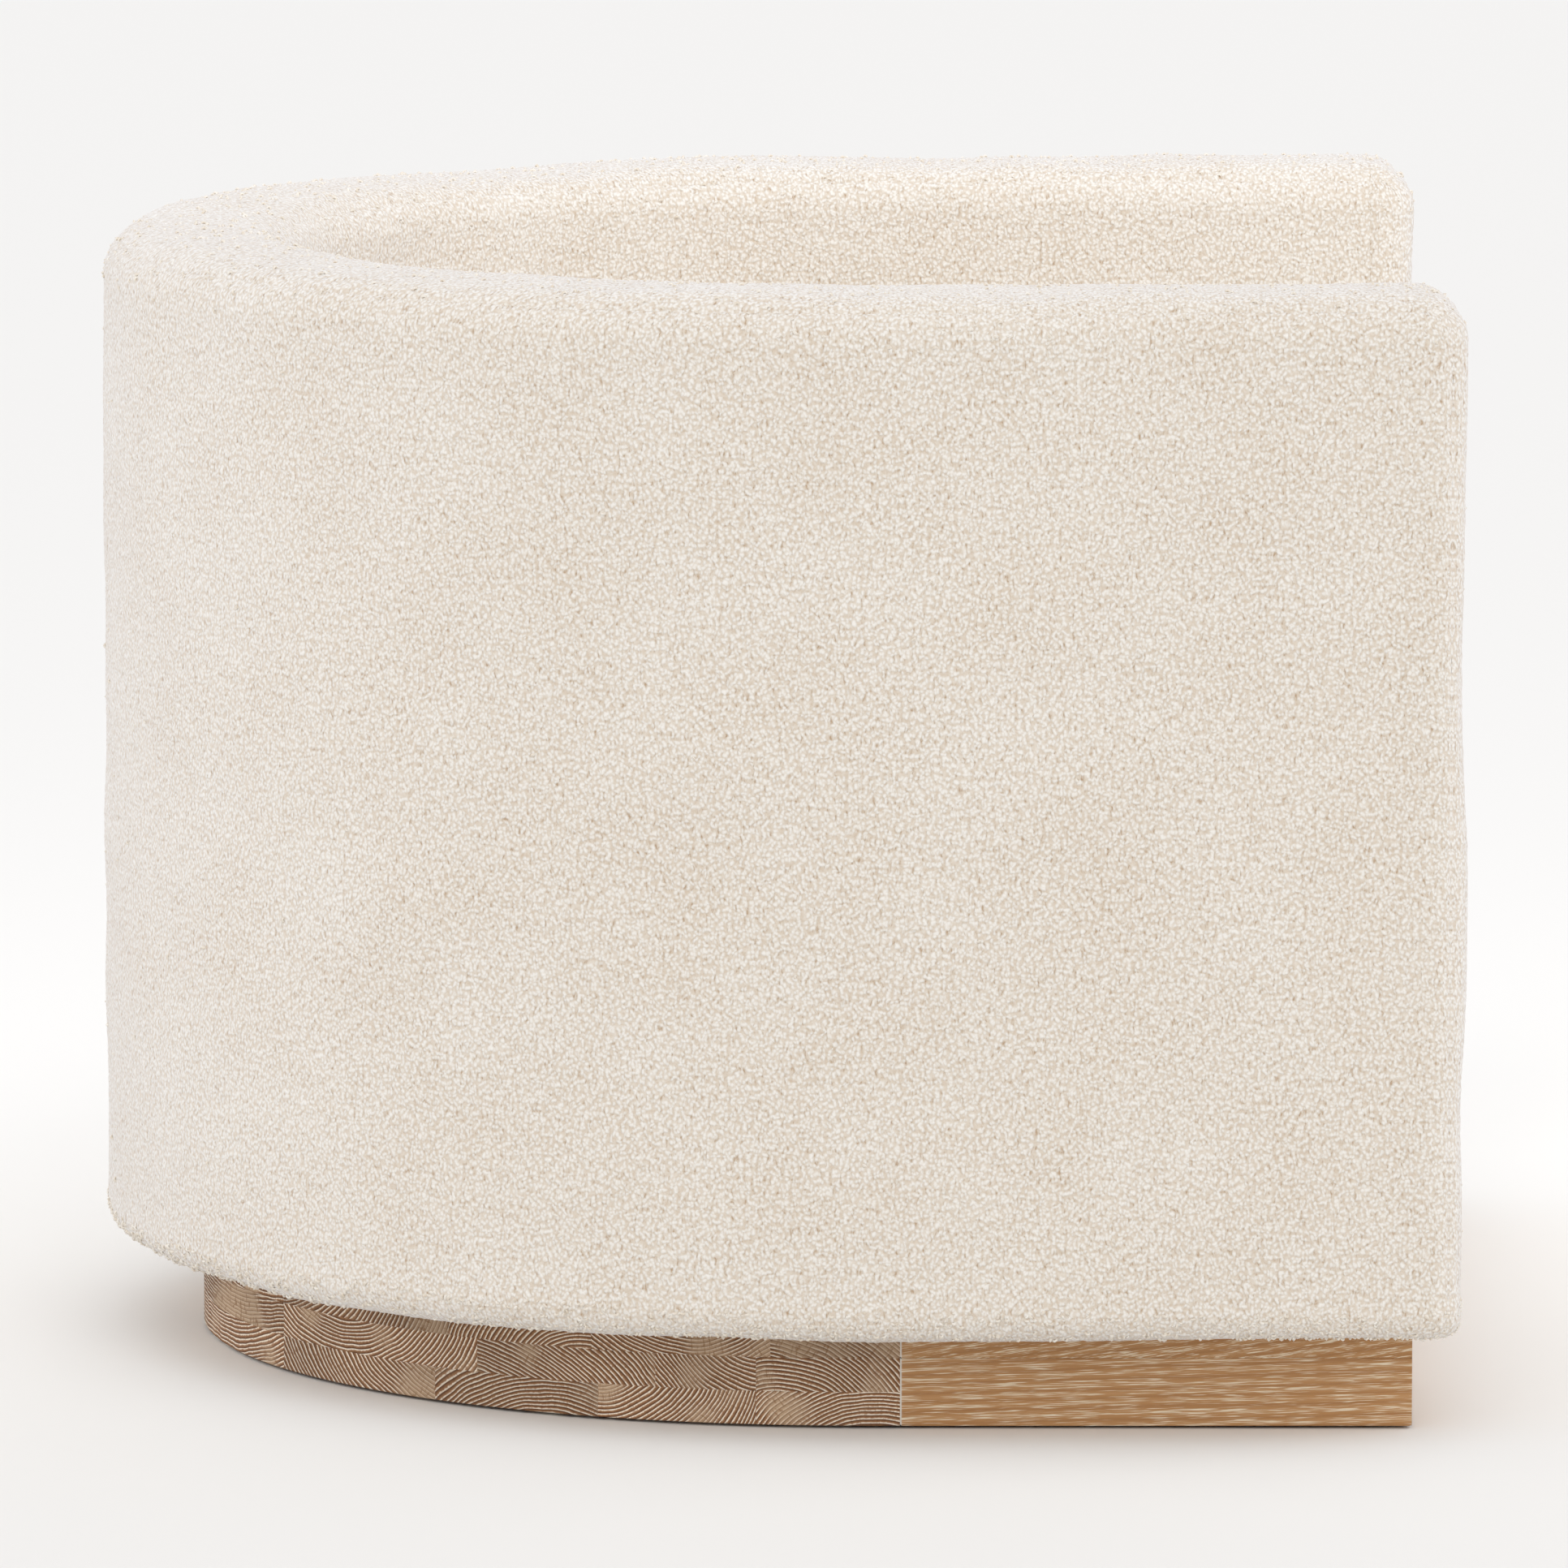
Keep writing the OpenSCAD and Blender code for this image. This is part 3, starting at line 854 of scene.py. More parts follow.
@dataclass(frozen=True)
class LoopedPile:
    """Relief of the looped cloth: hills of random height on a jittered lattice."""

    across: float = 4.8 * MM
    along: float = 5.4 * MM
    height: float = 1.1 * MM
    spread: float = 0.72

    def relief(self, u: np.ndarray, v: np.ndarray, seed: int) -> np.ndarray:
        """Height of the pile above its mean, in metres.

        Each lattice cell holds one loop at a random place, a half ellipse of random
        height; the surface is the highest loop there.

        Args:
            u: distance across the cloth in metres.
            v: distance along the cloth in metres.
            seed: picks the loops.

        Returns:
            Heights of the same shape as u.
        """
        cells = 311
        jitter = np.random.default_rng(seed).random((cells, cells, 3))
        gu, gv = u / self.across, v / self.along
        iu, iv = np.floor(gu).astype(int), np.floor(gv).astype(int)
        top = np.zeros(u.shape)
        for du in (-1, 0, 1):
            for dv in (-1, 0, 1):
                loop = jitter[(iu + du) % cells, (iv + dv) % cells]
                x = gu - iu - du - 0.15 - 0.7 * loop[..., 0]
                y = gv - iv - dv - 0.15 - 0.7 * loop[..., 1]
                reach = 1 - (x * x + y * y) / self.spread**2
                top = np.maximum(top, (0.45 + 0.55 * loop[..., 2]) * np.sqrt(np.maximum(reach, 0)))
        return self.height * (top - 0.55)


@dataclass
class Upholstery:
    """The covers of the wall, the apron and the deck, each cut and sewn as on the real sofa.

    Its fields are the wall's sizes, the materials of cloth and loose yarn, the step
    of the grids, and the seams', hems' and padding's sizes. Loose loops are how many
    stand out along the hem, along the top and elsewhere; they are loop_least to
    loop_least + loop_spread millimetres in radius, and their yarn is yarn_share of
    that. Skins collects the draped points and their normals, on which they stand.
    """

    s: WallSizes
    cloth: bpy.types.Material
    yarn: bpy.types.Material
    step: float = 2.6 * MM
    seam_tilt: float = 1.0
    front_seam: float = math.radians(45)
    seam_width: float = 2.6 * MM
    seam_depth: float = 0.9 * MM
    top_crown: float = 2.5 * MM
    crown_fade: float = 12.0
    front_hem_r: float = 12 * MM
    apron_brow_r: float = 12 * MM
    deck_tuck: float = 12 * MM
    deck_pile: LoopedPile = LoopedPile(height=0.7 * MM)
    arm_rise: float = 1.0 * MM
    apron_tuck: float = 7 * MM
    sway: float = 1.6 * MM
    loose_loops: tuple[int, int, int] = (4200, 1800, 500)
    loop_least: float = 0.55
    loop_spread: float = 0.75
    yarn_share: float = 0.85
    pile: LoopedPile = LoopedPile()
    skins: list[tuple[np.ndarray, np.ndarray]] = field(default_factory=list)

    # -- lines and sections

    def _line(self, pieces: list[tuple[np.ndarray, np.ndarray, np.ndarray]], reach: float) -> PlanLine:
        """Joins stretches of a plan line and measures it one reach outside its core.

        Args:
            pieces: core points, outward directions and corner angles of each stretch.
            reach: distance from the core to the cloth.

        Returns:
            The whole line.
        """
        core = np.concatenate([p[0] for p in pieces])
        out = np.concatenate([p[1] for p in pieces])
        corner = np.concatenate([p[2] for p in pieces])
        skin = core + reach * out
        steps = np.linalg.norm(np.diff(skin, axis=0), axis=1)
        keep = np.concatenate([[True], steps > 1e-7])
        length = np.concatenate([[0.0], np.cumsum(steps)])
        return PlanLine(core[keep], out[keep], corner[keep], length[keep])

    def _count(self, distance: float) -> int:
        """Number of points that keep the grid's step over a distance."""
        return max(2, math.ceil(abs(distance) / self.step) + 1)

    def _arm_depths(self) -> np.ndarray:
        """Depths along an arm's straight stretch, from its front to the half circle."""
        start, end = self.s.y_front + self.s.edge_r, self.s.y_arc
        return np.linspace(start, end, self._count(end - self.s.y_front - self.s.edge_r))

    def _bend(self, radius: float, side: int, reach: float) -> tuple[np.ndarray, np.ndarray, np.ndarray]:
        """Half circle round the back, from the left arm to the right one.

        Args:
            radius: radius of the core.
            side: 1 where the cloth faces away from the seat and -1 where it faces it.
            reach: distance from the core to the cloth.

        Returns:
            Core points, outward directions and corner angles.
        """
        turn = np.linspace(0, math.pi, self._count(math.pi * (radius + side * reach)))
        radial = np.stack([-np.cos(turn), np.sin(turn)], 1)
        return np.array([0.0, self.s.y_arc]) + radius * radial, side * radial, np.zeros(len(turn))

    def outside_line(self) -> PlanLine:
        """From the left arm's front corner round the back to the right arm's."""
        s = self.s
        radius = s.r_out - s.edge_r
        turns = np.linspace(self.front_seam, 0, self._count(s.edge_r * self.front_seam))
        ys = self._arm_depths()
        corner_core = np.tile([-radius, s.y_front + s.edge_r], (len(turns), 1))
        left = [
            (corner_core, np.stack([-np.cos(turns), -np.sin(turns)], 1), turns),
            (np.stack([np.full_like(ys, -radius), ys], 1), np.tile([-1.0, 0.0], (len(ys), 1)), 0 * ys),
        ]
        flip = np.array([-1.0, 1.0])
        right = [(c[::-1] * flip, o[::-1] * flip, a[::-1]) for c, o, a in reversed(left)]
        return self._line(left + [self._bend(radius, 1, s.edge_r)] + right, s.edge_r)

    def inside_line(self) -> PlanLine:
        """Along the inside of the left arm, round the back and along the right arm."""
        s = self.s
        radius = s.r_in + s.edge_r
        ys = self._arm_depths()
        left = (np.stack([np.full_like(ys, -radius), ys], 1), np.tile([1.0, 0.0], (len(ys), 1)), 0 * ys)
        flip = np.array([-1.0, 1.0])
        right = (left[0][::-1] * flip, left[1][::-1] * flip, left[2])
        return self._line([left, self._bend(radius, -1, s.edge_r), right], s.edge_r)

    def front_line(self, side: Side) -> PlanLine:
        """Across an arm's front, from its outside corner round to its inside face.

        Args:
            side: which arm.

        Returns:
            The line, from outside to inside.
        """
        s = self.s
        x_out, x_in, y = s.r_out - s.edge_r, s.r_in + s.edge_r, s.y_front + s.edge_r
        first = np.linspace(self.front_seam, math.pi / 2, self._count(s.edge_r * 0.5))
        xs = np.linspace(x_out, x_in, self._count(x_out - x_in))
        last = np.linspace(math.pi / 2, 0, self._count(s.edge_r * math.pi / 2))
        pieces = [
            (np.tile([x_out, y], (len(first), 1)), np.stack([np.cos(first), -np.sin(first)], 1), first),
            (
                np.stack([xs, np.full_like(xs, y)], 1),
                np.tile([0.0, -1.0], (len(xs), 1)),
                np.full(len(xs), math.pi / 2),
            ),
            (np.tile([x_in, y], (len(last), 1)), np.stack([-np.cos(last), -np.sin(last)], 1), last),
        ]
        line = self._line(pieces, s.edge_r)
        mirror = np.array([float(side.value), 1.0])
        return PlanLine(line.core * mirror, line.out * mirror, line.corner, line.length)

    def _wall_points(self, line: PlanLine, from_hem: bool) -> tuple[np.ndarray, np.ndarray]:
        """Carries the wall's section along a plan line.

        The section starts flat under the sofa, turns up round the hem, runs straight
        up and bends over the top edge as far as the seam. The seam's height follows
        the edge of the top panel, whose tilt is the same on every side, so it dips at
        a front corner: its slope is the larger of the corner's cosine and sine over
        the tilt.

        Args:
            line: the plan line.
            from_hem: whether the section starts under the hem, or behind the deck.

        Returns:
            Points and, for each, the distances along the line and up the section.
        """
        s = self.s
        facing = np.sin(line.corner)[:, None] ** 2
        hem_r = s.hem_r + (self.front_hem_r - s.hem_r) * facing
        top_turn = np.arctan(np.maximum(np.cos(line.corner), np.sin(line.corner)) / self.seam_tilt)[:, None]
        parts: list[tuple[np.ndarray, np.ndarray]] = []
        if from_hem:
            flat = np.linspace(0, 1, 7)[None, :]
            parts.append(((s.edge_r - hem_r) * flat, s.z_hem + 0 * hem_r * flat))
            turn = np.linspace(0, math.pi / 2, self._count(s.hem_r * math.pi / 2))[None, 1:]
            parts.append((s.edge_r - hem_r + hem_r * np.sin(turn), s.z_hem + hem_r * (1 - np.cos(turn))))
            start = s.z_hem + hem_r
        else:
            start = np.full((len(line.core), 1), s.z_deck - self.deck_tuck)
        rise = np.linspace(0, 1, self._count(s.z_rail - float(start.min())))[None, :]
        rise = rise[:, 1:] if from_hem else rise
        parts.append((s.edge_r + 0 * rise * start, start + (s.z_rail - start) * rise))
        over = np.linspace(0, 1, self._count(s.edge_r * float(top_turn.max())))[None, 1:]
        parts.append((s.edge_r * np.cos(over * top_turn), s.z_rail + s.edge_r * np.sin(over * top_turn)))
        reach = np.concatenate([np.broadcast_to(p[0], p[1].shape) for p in parts], 1)
        z = np.concatenate([p[1] for p in parts], 1)
        plan = line.core[:, None, :] + reach[..., None] * line.out[:, None, :]
        points = np.concatenate([plan, z[..., None]], 2)
        up = np.concatenate(
            [np.zeros((len(z), 1)), np.cumsum(np.hypot(np.diff(reach, axis=1), np.diff(z, axis=1)), 1)], 1
        )
        along = np.broadcast_to(line.length[:, None], up.shape)
        return points, np.stack([along, up], 2)

    # -- cloth on a shape

    def _lift(self, points: np.ndarray) -> np.ndarray:
        """How much higher the arms stand towards the front, by a smooth step in Y.

        Args:
            points: grid of points on the wall.

        Returns:
            A rise in metres for each point.
        """
        s = self.s
        t = np.clip((s.y_arc - points[..., 1]) / (s.y_arc - s.y_front - s.edge_r), 0, 1)
        high = np.clip((points[..., 2] - s.z_deck) / (s.z_rail - s.z_deck), 0, 1)
        return self.arm_rise * t * t * (3 - 2 * t) * high

    def _drape(
        self, points: np.ndarray, uv: np.ndarray, hint: np.ndarray, seed: int, seams: np.ndarray
    ) -> np.ndarray:
        """Lays the looped cloth on a shape: sway, seam valleys and pile, along the normals.

        Args:
            points: the smooth shape.
            uv: distances along and up the cloth.
            hint: directions that the cloth faces, or one direction.
            seed: picks the sway and the loops.
            seams: distance to the nearest seam, in metres.

        Returns:
            The displaced points.
        """
        normal = grid_normals(points)
        facing = np.sum(normal * hint, axis=2, keepdims=True)
        normal = np.where(facing < 0, -normal, normal)
        u, v = uv[..., 0], uv[..., 1]
        puff = 1 - np.exp(-((seams / (5 * self.seam_width)) ** 2))
        sway = self.sway * puff * (
            0.7 * soft_noise(u, v, 0.31, seed) + 0.4 * soft_noise(u, v, 0.11, seed + 1)
        )
        valley = self.seam_depth * np.exp(-((seams / self.seam_width) ** 2))
        pile = self.pile.relief(u, v, seed + 2) * np.clip(seams / self.seam_width, 0.25, 1)
        shifted = points + (sway - valley + pile)[..., None] * normal
        shifted[..., 2] += self._lift(points)
        self.skins.append((shifted.reshape(-1, 3), normal.reshape(-1, 3)))
        return shifted

    def _panel(
        self,
        name: str,
        points: np.ndarray,
        uv: np.ndarray,
        hint: np.ndarray,
        nodes: tuple[str, ...],
    ) -> bpy.types.Object:
        """Makes a cover panel from its draped points.

        Args:
            name: the piece's name.
            points: grid of points.
            uv: grid of distances on the cloth.
            hint: direction that the panel faces at its middle.
            nodes: the CAD nodes it stands for.

        Returns:
            The panel.
        """
        rows, columns = points.shape[:2]
        quads = grid_faces(rows, columns)
        middle = grid_normals(points)[rows // 2, columns // 2]
        if np.dot(middle, hint) < 0:
            quads = quads[:, ::-1]
        piece = mesh_object(name, points.reshape(-1, 3), quads, uv.reshape(-1, 2))
        settle(piece, "frame", Slot.BOUCLE, self.cloth, *nodes)
        return piece

    def _wall_cloth(self, line: PlanLine, from_hem: bool, seed: int) -> tuple[np.ndarray, np.ndarray]:
        """Drapes cloth over the wall along a plan line; its ends and its top edge are seams.

        Args:
            line: the plan line.
            from_hem: whether it starts under the hem, or behind the deck.
            seed: picks the sway and the loops.

        Returns:
            The draped points and the distances on the cloth.
        """
        points, uv = self._wall_points(line, from_hem)
        flat = np.concatenate([line.out, 0 * line.length[:, None]], 1)
        hint = flat[:, None, :] + np.zeros_like(points)
        if from_hem:
            hint[..., 2] = np.where(points[..., 2] < self.s.z_hem + 2 * MM, -1.0, 0.0)
        top = uv[:, -1:, 1] - uv[..., 1]
        ends = np.minimum(uv[..., 0], uv[-1:, :, 0] - uv[..., 0])
        return self._drape(points, uv, hint, seed, np.minimum(top, ends)), uv

    def outside(self) -> bpy.types.Object:
        """The outside panel, one length of cloth from arm front to arm front."""
        draped, uv = self._wall_cloth(self.outside_line(), True, 11)
        nodes = ("outside_cover", "outer_foam")
        return self._panel("outside_cloth", draped, uv, BACKWARD, nodes)

    def inside(self) -> bpy.types.Object:
        """The inside panel, from the deck up to the top panel."""
        draped, uv = self._wall_cloth(self.inside_line(), False, 23)
        nodes = ("inside_cover", "back_foam", "arm_foam_left", "arm_foam_right")
        return self._panel("inside_cloth", draped, uv, FORWARD, nodes)

    def arm_front(self, side: Side) -> bpy.types.Object:
        """The narrow panel over an arm's front.

        Args:
            side: which arm.

        Returns:
            The panel.
        """
        draped, uv = self._wall_cloth(self.front_line(side), True, 41 + side.value)
        word = side.name.lower()
        nodes = (f"arm_front_cover_{word}", f"arm_front_foam_{word}")
        return self._panel(f"arm_front_cloth_{word}", draped, uv, FORWARD, nodes)

    def top(self) -> bpy.types.Object:
        """The top panel, which rolls over both edges and both arm fronts as far as its seams.

        A point is its core point plus an edge radius along the direction whose
        sideways and forward slopes are the tangents of the two tilts there. The
        crown is a squared sine over the panel's width, which dies away towards the
        seams at the arm fronts.
        """
        s = self.s
        tilt = math.atan(self.seam_tilt)
        r_core_in, r_core_out = s.r_in + s.edge_r, s.r_out - s.edge_r
        over = self._count(s.edge_r * tilt)
        flat = self._count(r_core_out - r_core_in)
        slopes = np.concatenate(
            [np.linspace(-tilt, 0, over), np.zeros(flat - 2), np.linspace(0, tilt, over)]
        )
        lateral = np.concatenate([
            np.full(over, r_core_in),
            np.linspace(r_core_in, r_core_out, flat)[1:-1],
            np.full(over, r_core_out),
        ])
        ys = self._arm_depths()
        front = np.linspace(tilt, 0, over)[:-1]
        turn = np.linspace(0, math.pi, self._count(math.pi * s.r_out * 0.9))
        origin = np.concatenate([
            np.stack([0 * front, 0 * front + s.y_front + s.edge_r], 1),
            np.stack([0 * ys, ys], 1),
        ])
        outward = np.tile([-1.0, 0.0], (len(origin), 1))
        forward = np.concatenate([front, 0 * ys])
        bend = turn[1:-1]
        origin = np.concatenate([origin, np.tile([0.0, s.y_arc], (len(bend), 1)), origin[::-1]])
        radial = np.stack([-np.cos(bend), np.sin(bend)], 1)
        outward = np.concatenate([outward, radial, -outward])
        forward = np.concatenate([forward, 0 * bend, forward[::-1]])
        slope = np.tan(slopes)[None, :, None]
        plan_dir = outward[:, None, :] * slope + np.array([0.0, -1.0]) * np.tan(forward)[:, None, None]
        direction = np.concatenate([plan_dir, np.ones(plan_dir.shape[:2] + (1,))], 2)
        direction /= np.linalg.norm(direction, axis=2, keepdims=True)
        core = origin[:, None, :] + outward[:, None, :] * lateral[None, :, None]
        points = np.concatenate([core, np.full(core.shape[:2] + (1,), s.z_rail)], 2) + s.edge_r * direction
        middle = points[:, points.shape[1] // 2, :2]
        along = run_length(middle)
        rolled = run_length(direction[:, 0]) * s.edge_r
        along = np.maximum(along, np.minimum(rolled, along + s.edge_r))
        width = run_length(points[len(points) // 2])
        uv = np.stack(np.broadcast_arrays(along[:, None], width[None, :]), 2)
        sides = np.minimum(uv[..., 1], width[-1] - uv[..., 1])
        spine = run_length(points[:, len(width) // 2])
        ends = np.minimum(spine, spine[-1] - spine)[:, None]
        crown = self.top_crown * np.sin(math.pi * uv[..., 1] / width[-1]) ** 2
        crown *= 1 - np.exp(-((ends / (self.crown_fade * self.seam_width)) ** 2))
        draped = self._drape(points, uv, UP, 31, np.minimum(sides, ends))
        draped[..., 2] += crown
        return self._panel("top_cloth", draped, uv, UP, ("top_cover", "top_foam"))

    def apron(self) -> bpy.types.Object:
        """The panel under the seat's front, between the arms."""
        s = self.s
        low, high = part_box("apron_cover")
        top_r, hem_r = self.apron_brow_r, self.front_hem_r
        hem = np.linspace(0, math.pi / 2, 12)
        brow = np.linspace(0, math.pi / 2, 10)[1:]
        rise = np.linspace(low.z + hem_r, high.z - top_r, self._count(high.z - low.z))[1:]
        y = np.concatenate([
            [high.y, (high.y + low.y + hem_r) / 2],
            low.y + hem_r * (1 - np.sin(hem)),
            np.full(len(rise), low.y),
            low.y + top_r * (1 - np.cos(brow)),
            [high.y],
        ])
        z = np.concatenate([
            [low.z, low.z],
            low.z + hem_r * (1 - np.cos(hem)),
            rise,
            high.z - top_r + top_r * np.sin(brow),
            [high.z],
        ])
        reach = s.r_in + self.apron_tuck
        xs = np.linspace(-reach, reach, self._count(2 * reach))
        points = np.stack(np.broadcast_arrays(xs[:, None], y[None, :], z[None, :]), 2)
        up = run_length(np.stack([y, z], 1))
        uv = np.stack(np.broadcast_arrays(xs[:, None] - xs[0], up[None, :]), 2)
        hint = np.stack([0 * z, 0 * z - 1.0, np.sign(z - (low.z + high.z) / 2)], 1)[None]
        ends = np.minimum(uv[..., 0], uv[-1:, :, 0] - uv[..., 0])
        draped = self._drape(points, uv, hint, 53, np.minimum(ends, up[-1] - uv[..., 1]))
        return self._panel("apron_cloth", draped, uv, FORWARD, ("apron_cover", "apron_foam"))

    def _d_rows(self, radius: float, y_end: float, rows: int, columns: int) -> np.ndarray:
        """Grid over a plate with a half-round back: each row across, as wide as the plate there.

        Args:
            radius: half the plate's width, and its back's radius.
            y_end: Y of its straight front.
            rows: rows from front to back.
            columns: points across.

        Returns:
            Plan points.
        """
        s = self.s
        straight = s.y_arc - y_end
        share = straight / (straight + radius * math.pi / 2)
        t = np.linspace(0, 1, rows)
        y_straight = y_end + straight * np.minimum(t / share, 1)
        turn = math.pi / 2 * np.clip((t - share) / (1 - share), 0, 1)
        ys = y_straight + radius * np.sin(turn)
        half = radius * np.maximum(np.cos(turn), 1e-4)
        across = np.linspace(-1, 1, columns)
        return np.stack(np.broadcast_arrays(half[:, None] * across[None, :], ys[:, None]), 2)

    def deck(self) -> bpy.types.Object:
        """The cloth on the deck, under the loose cushion."""
        low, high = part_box("deck_cover")
        plan = self._d_rows(high.x + 1 * MM, low.y - 2 * MM, 110, 120)
        z = high.z - 1 * MM + 0.4 * MM * soft_noise(plan[..., 0], plan[..., 1], 0.09, 61)
        z += self.deck_pile.relief(plan[..., 0] + 1, plan[..., 1] + 1, 62)
        points = np.concatenate([plan, z[..., None]], 2)
        nodes = ("deck_cover", "deck_foam")
        return self._panel("deck_cloth", points, plan + 1.0, UP, nodes)

    def underside(self) -> bpy.types.Object:
        """The turned-under hem: a flat ring from the wall's bottom edge to the plinth."""
        s = self.s
        _, plinth_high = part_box("plinth_layer_top")
        plinth_low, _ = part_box("plinth_front")
        turn = np.linspace(0, math.pi, 180)
        fold = s.edge_r - 1 * MM

        def outline(radius: float, y_end: float) -> np.ndarray:
            """Closed plan outline: two sides, a half-round back and a straight front.

            Args:
                radius: half the outline's width, and its back's radius.
                y_end: Y of its front.

            Returns:
                Plan points.
            """
            ys = np.linspace(y_end, s.y_arc, 40)
            bend = np.stack([-radius * np.cos(turn), s.y_arc + radius * np.sin(turn)], 1)
            xs = np.linspace(radius, -radius, 90)[1:-1]
            return np.concatenate([
                np.stack([0 * ys - radius, ys], 1), bend[1:-1], np.stack([0 * ys + radius, ys[::-1]], 1),
                np.stack([xs, 0 * xs + y_end], 1),
            ])

        outer = outline(s.r_out - fold, s.y_front + fold)
        inner = outline(plinth_high.x - 2 * MM, plinth_low.y + 2 * MM)
        share = np.linspace(0, 1, 14)[:, None, None]
        plan = outer[None] * (1 - share) + inner[None] * share
        z = s.z_hem + 0.5 * MM + 0.3 * MM * soft_noise(plan[..., 0], plan[..., 1], 0.05, 71)
        points = np.concatenate([plan, z[..., None]], 2)
        quads = grid_faces(*points.shape[:2], wrap=True)
        piece = mesh_object("hem_cloth", points.reshape(-1, 3), quads, plan.reshape(-1, 2) + 1.0)
        if piece.data.polygons[0].normal.z > 0:
            piece.data.flip_normals()
        settle(piece, "frame", Slot.BOUCLE, self.cloth)
        return piece

    def fringe(self) -> bpy.types.Object:
        """Single loops of yarn that stand out along the hem, the top edges and the corners.

        Each loop is a small arch: a bent tube whose ends sink into the cloth. It
        stands on a random point of the draped cloth and is turned, scaled and leaned
        at random.
        """
        rng = np.random.default_rng(83)
        s = self.s
        points = np.concatenate([skin[0] for skin in self.skins])
        normals = np.concatenate([skin[1] for skin in self.skins])
        z = points[:, 2]
        low_band = (z < s.z_hem + s.hem_r) & (z > s.z_hem + 0.5 * MM) & (normals[:, 2] < 0.1)
        edge_band = z > s.z_rail
        bands = (low_band, edge_band, ~low_band & ~edge_band)
        chosen = [rng.choice(np.flatnonzero(band), n) for band, n in zip(bands, self.loose_loops)]
        pick = np.concatenate(chosen)
        normal = normals[pick]
        spot = points[pick] - 0.3 * MM * normal
        count = len(spot)
        arch = np.linspace(-0.15, math.pi + 0.15, 5)
        ring = np.arange(4) * math.pi / 2
        size = (self.loop_least + self.loop_spread * rng.random(count)) * MM
        yarn = self.yarn_share * size
        spin = rng.random(count) * 2 * math.pi
        helper = np.where(np.abs(normal[:, 2:]) < 0.9, [[0.0, 0.0, 1.0]], [[1.0, 0.0, 0.0]])
        side = np.cross(normal, helper)
        side /= np.linalg.norm(side, axis=1, keepdims=True)
        other = np.cross(normal, side)
        across = np.cos(spin)[:, None] * side + np.sin(spin)[:, None] * other
        third = np.cross(normal, across)
        lean = 0.5 * (rng.random((count, 1)) - 0.5)
        stand = normal + lean * third
        radial = (
            np.cos(arch)[None, :, None] * across[:, None, :]
            + np.sin(arch)[None, :, None] * stand[:, None, :]
        )
        centre = spot[:, None, :] + size[:, None, None] * radial
        tube = centre[:, :, None, :] + yarn[:, None, None, None] * (
            np.cos(ring)[None, None, :, None] * radial[:, :, None, :]
            + np.sin(ring)[None, None, :, None] * third[:, None, None, :]
        )
        quads = grid_faces(len(arch), len(ring), wrap=True)
        per = len(arch) * len(ring)
        faces = (quads[None] + per * np.arange(count)[:, None, None]).reshape(-1, 4)
        piece = mesh_object("yarn_loops", tube.reshape(-1, 3), faces[:, ::-1])
        return settle(piece, "frame", Slot.BOUCLE, self.yarn)

    def build(self) -> None:
        """Builds every cover in the order an upholsterer sews them."""
        self.inside()
        self.outside()
        self.top()
        for side in Side:
            self.arm_front(side)
        self.apron()
        self.deck()
        self.underside()
        self.fringe()


# ---------------------------------------------------------------- seat cushion


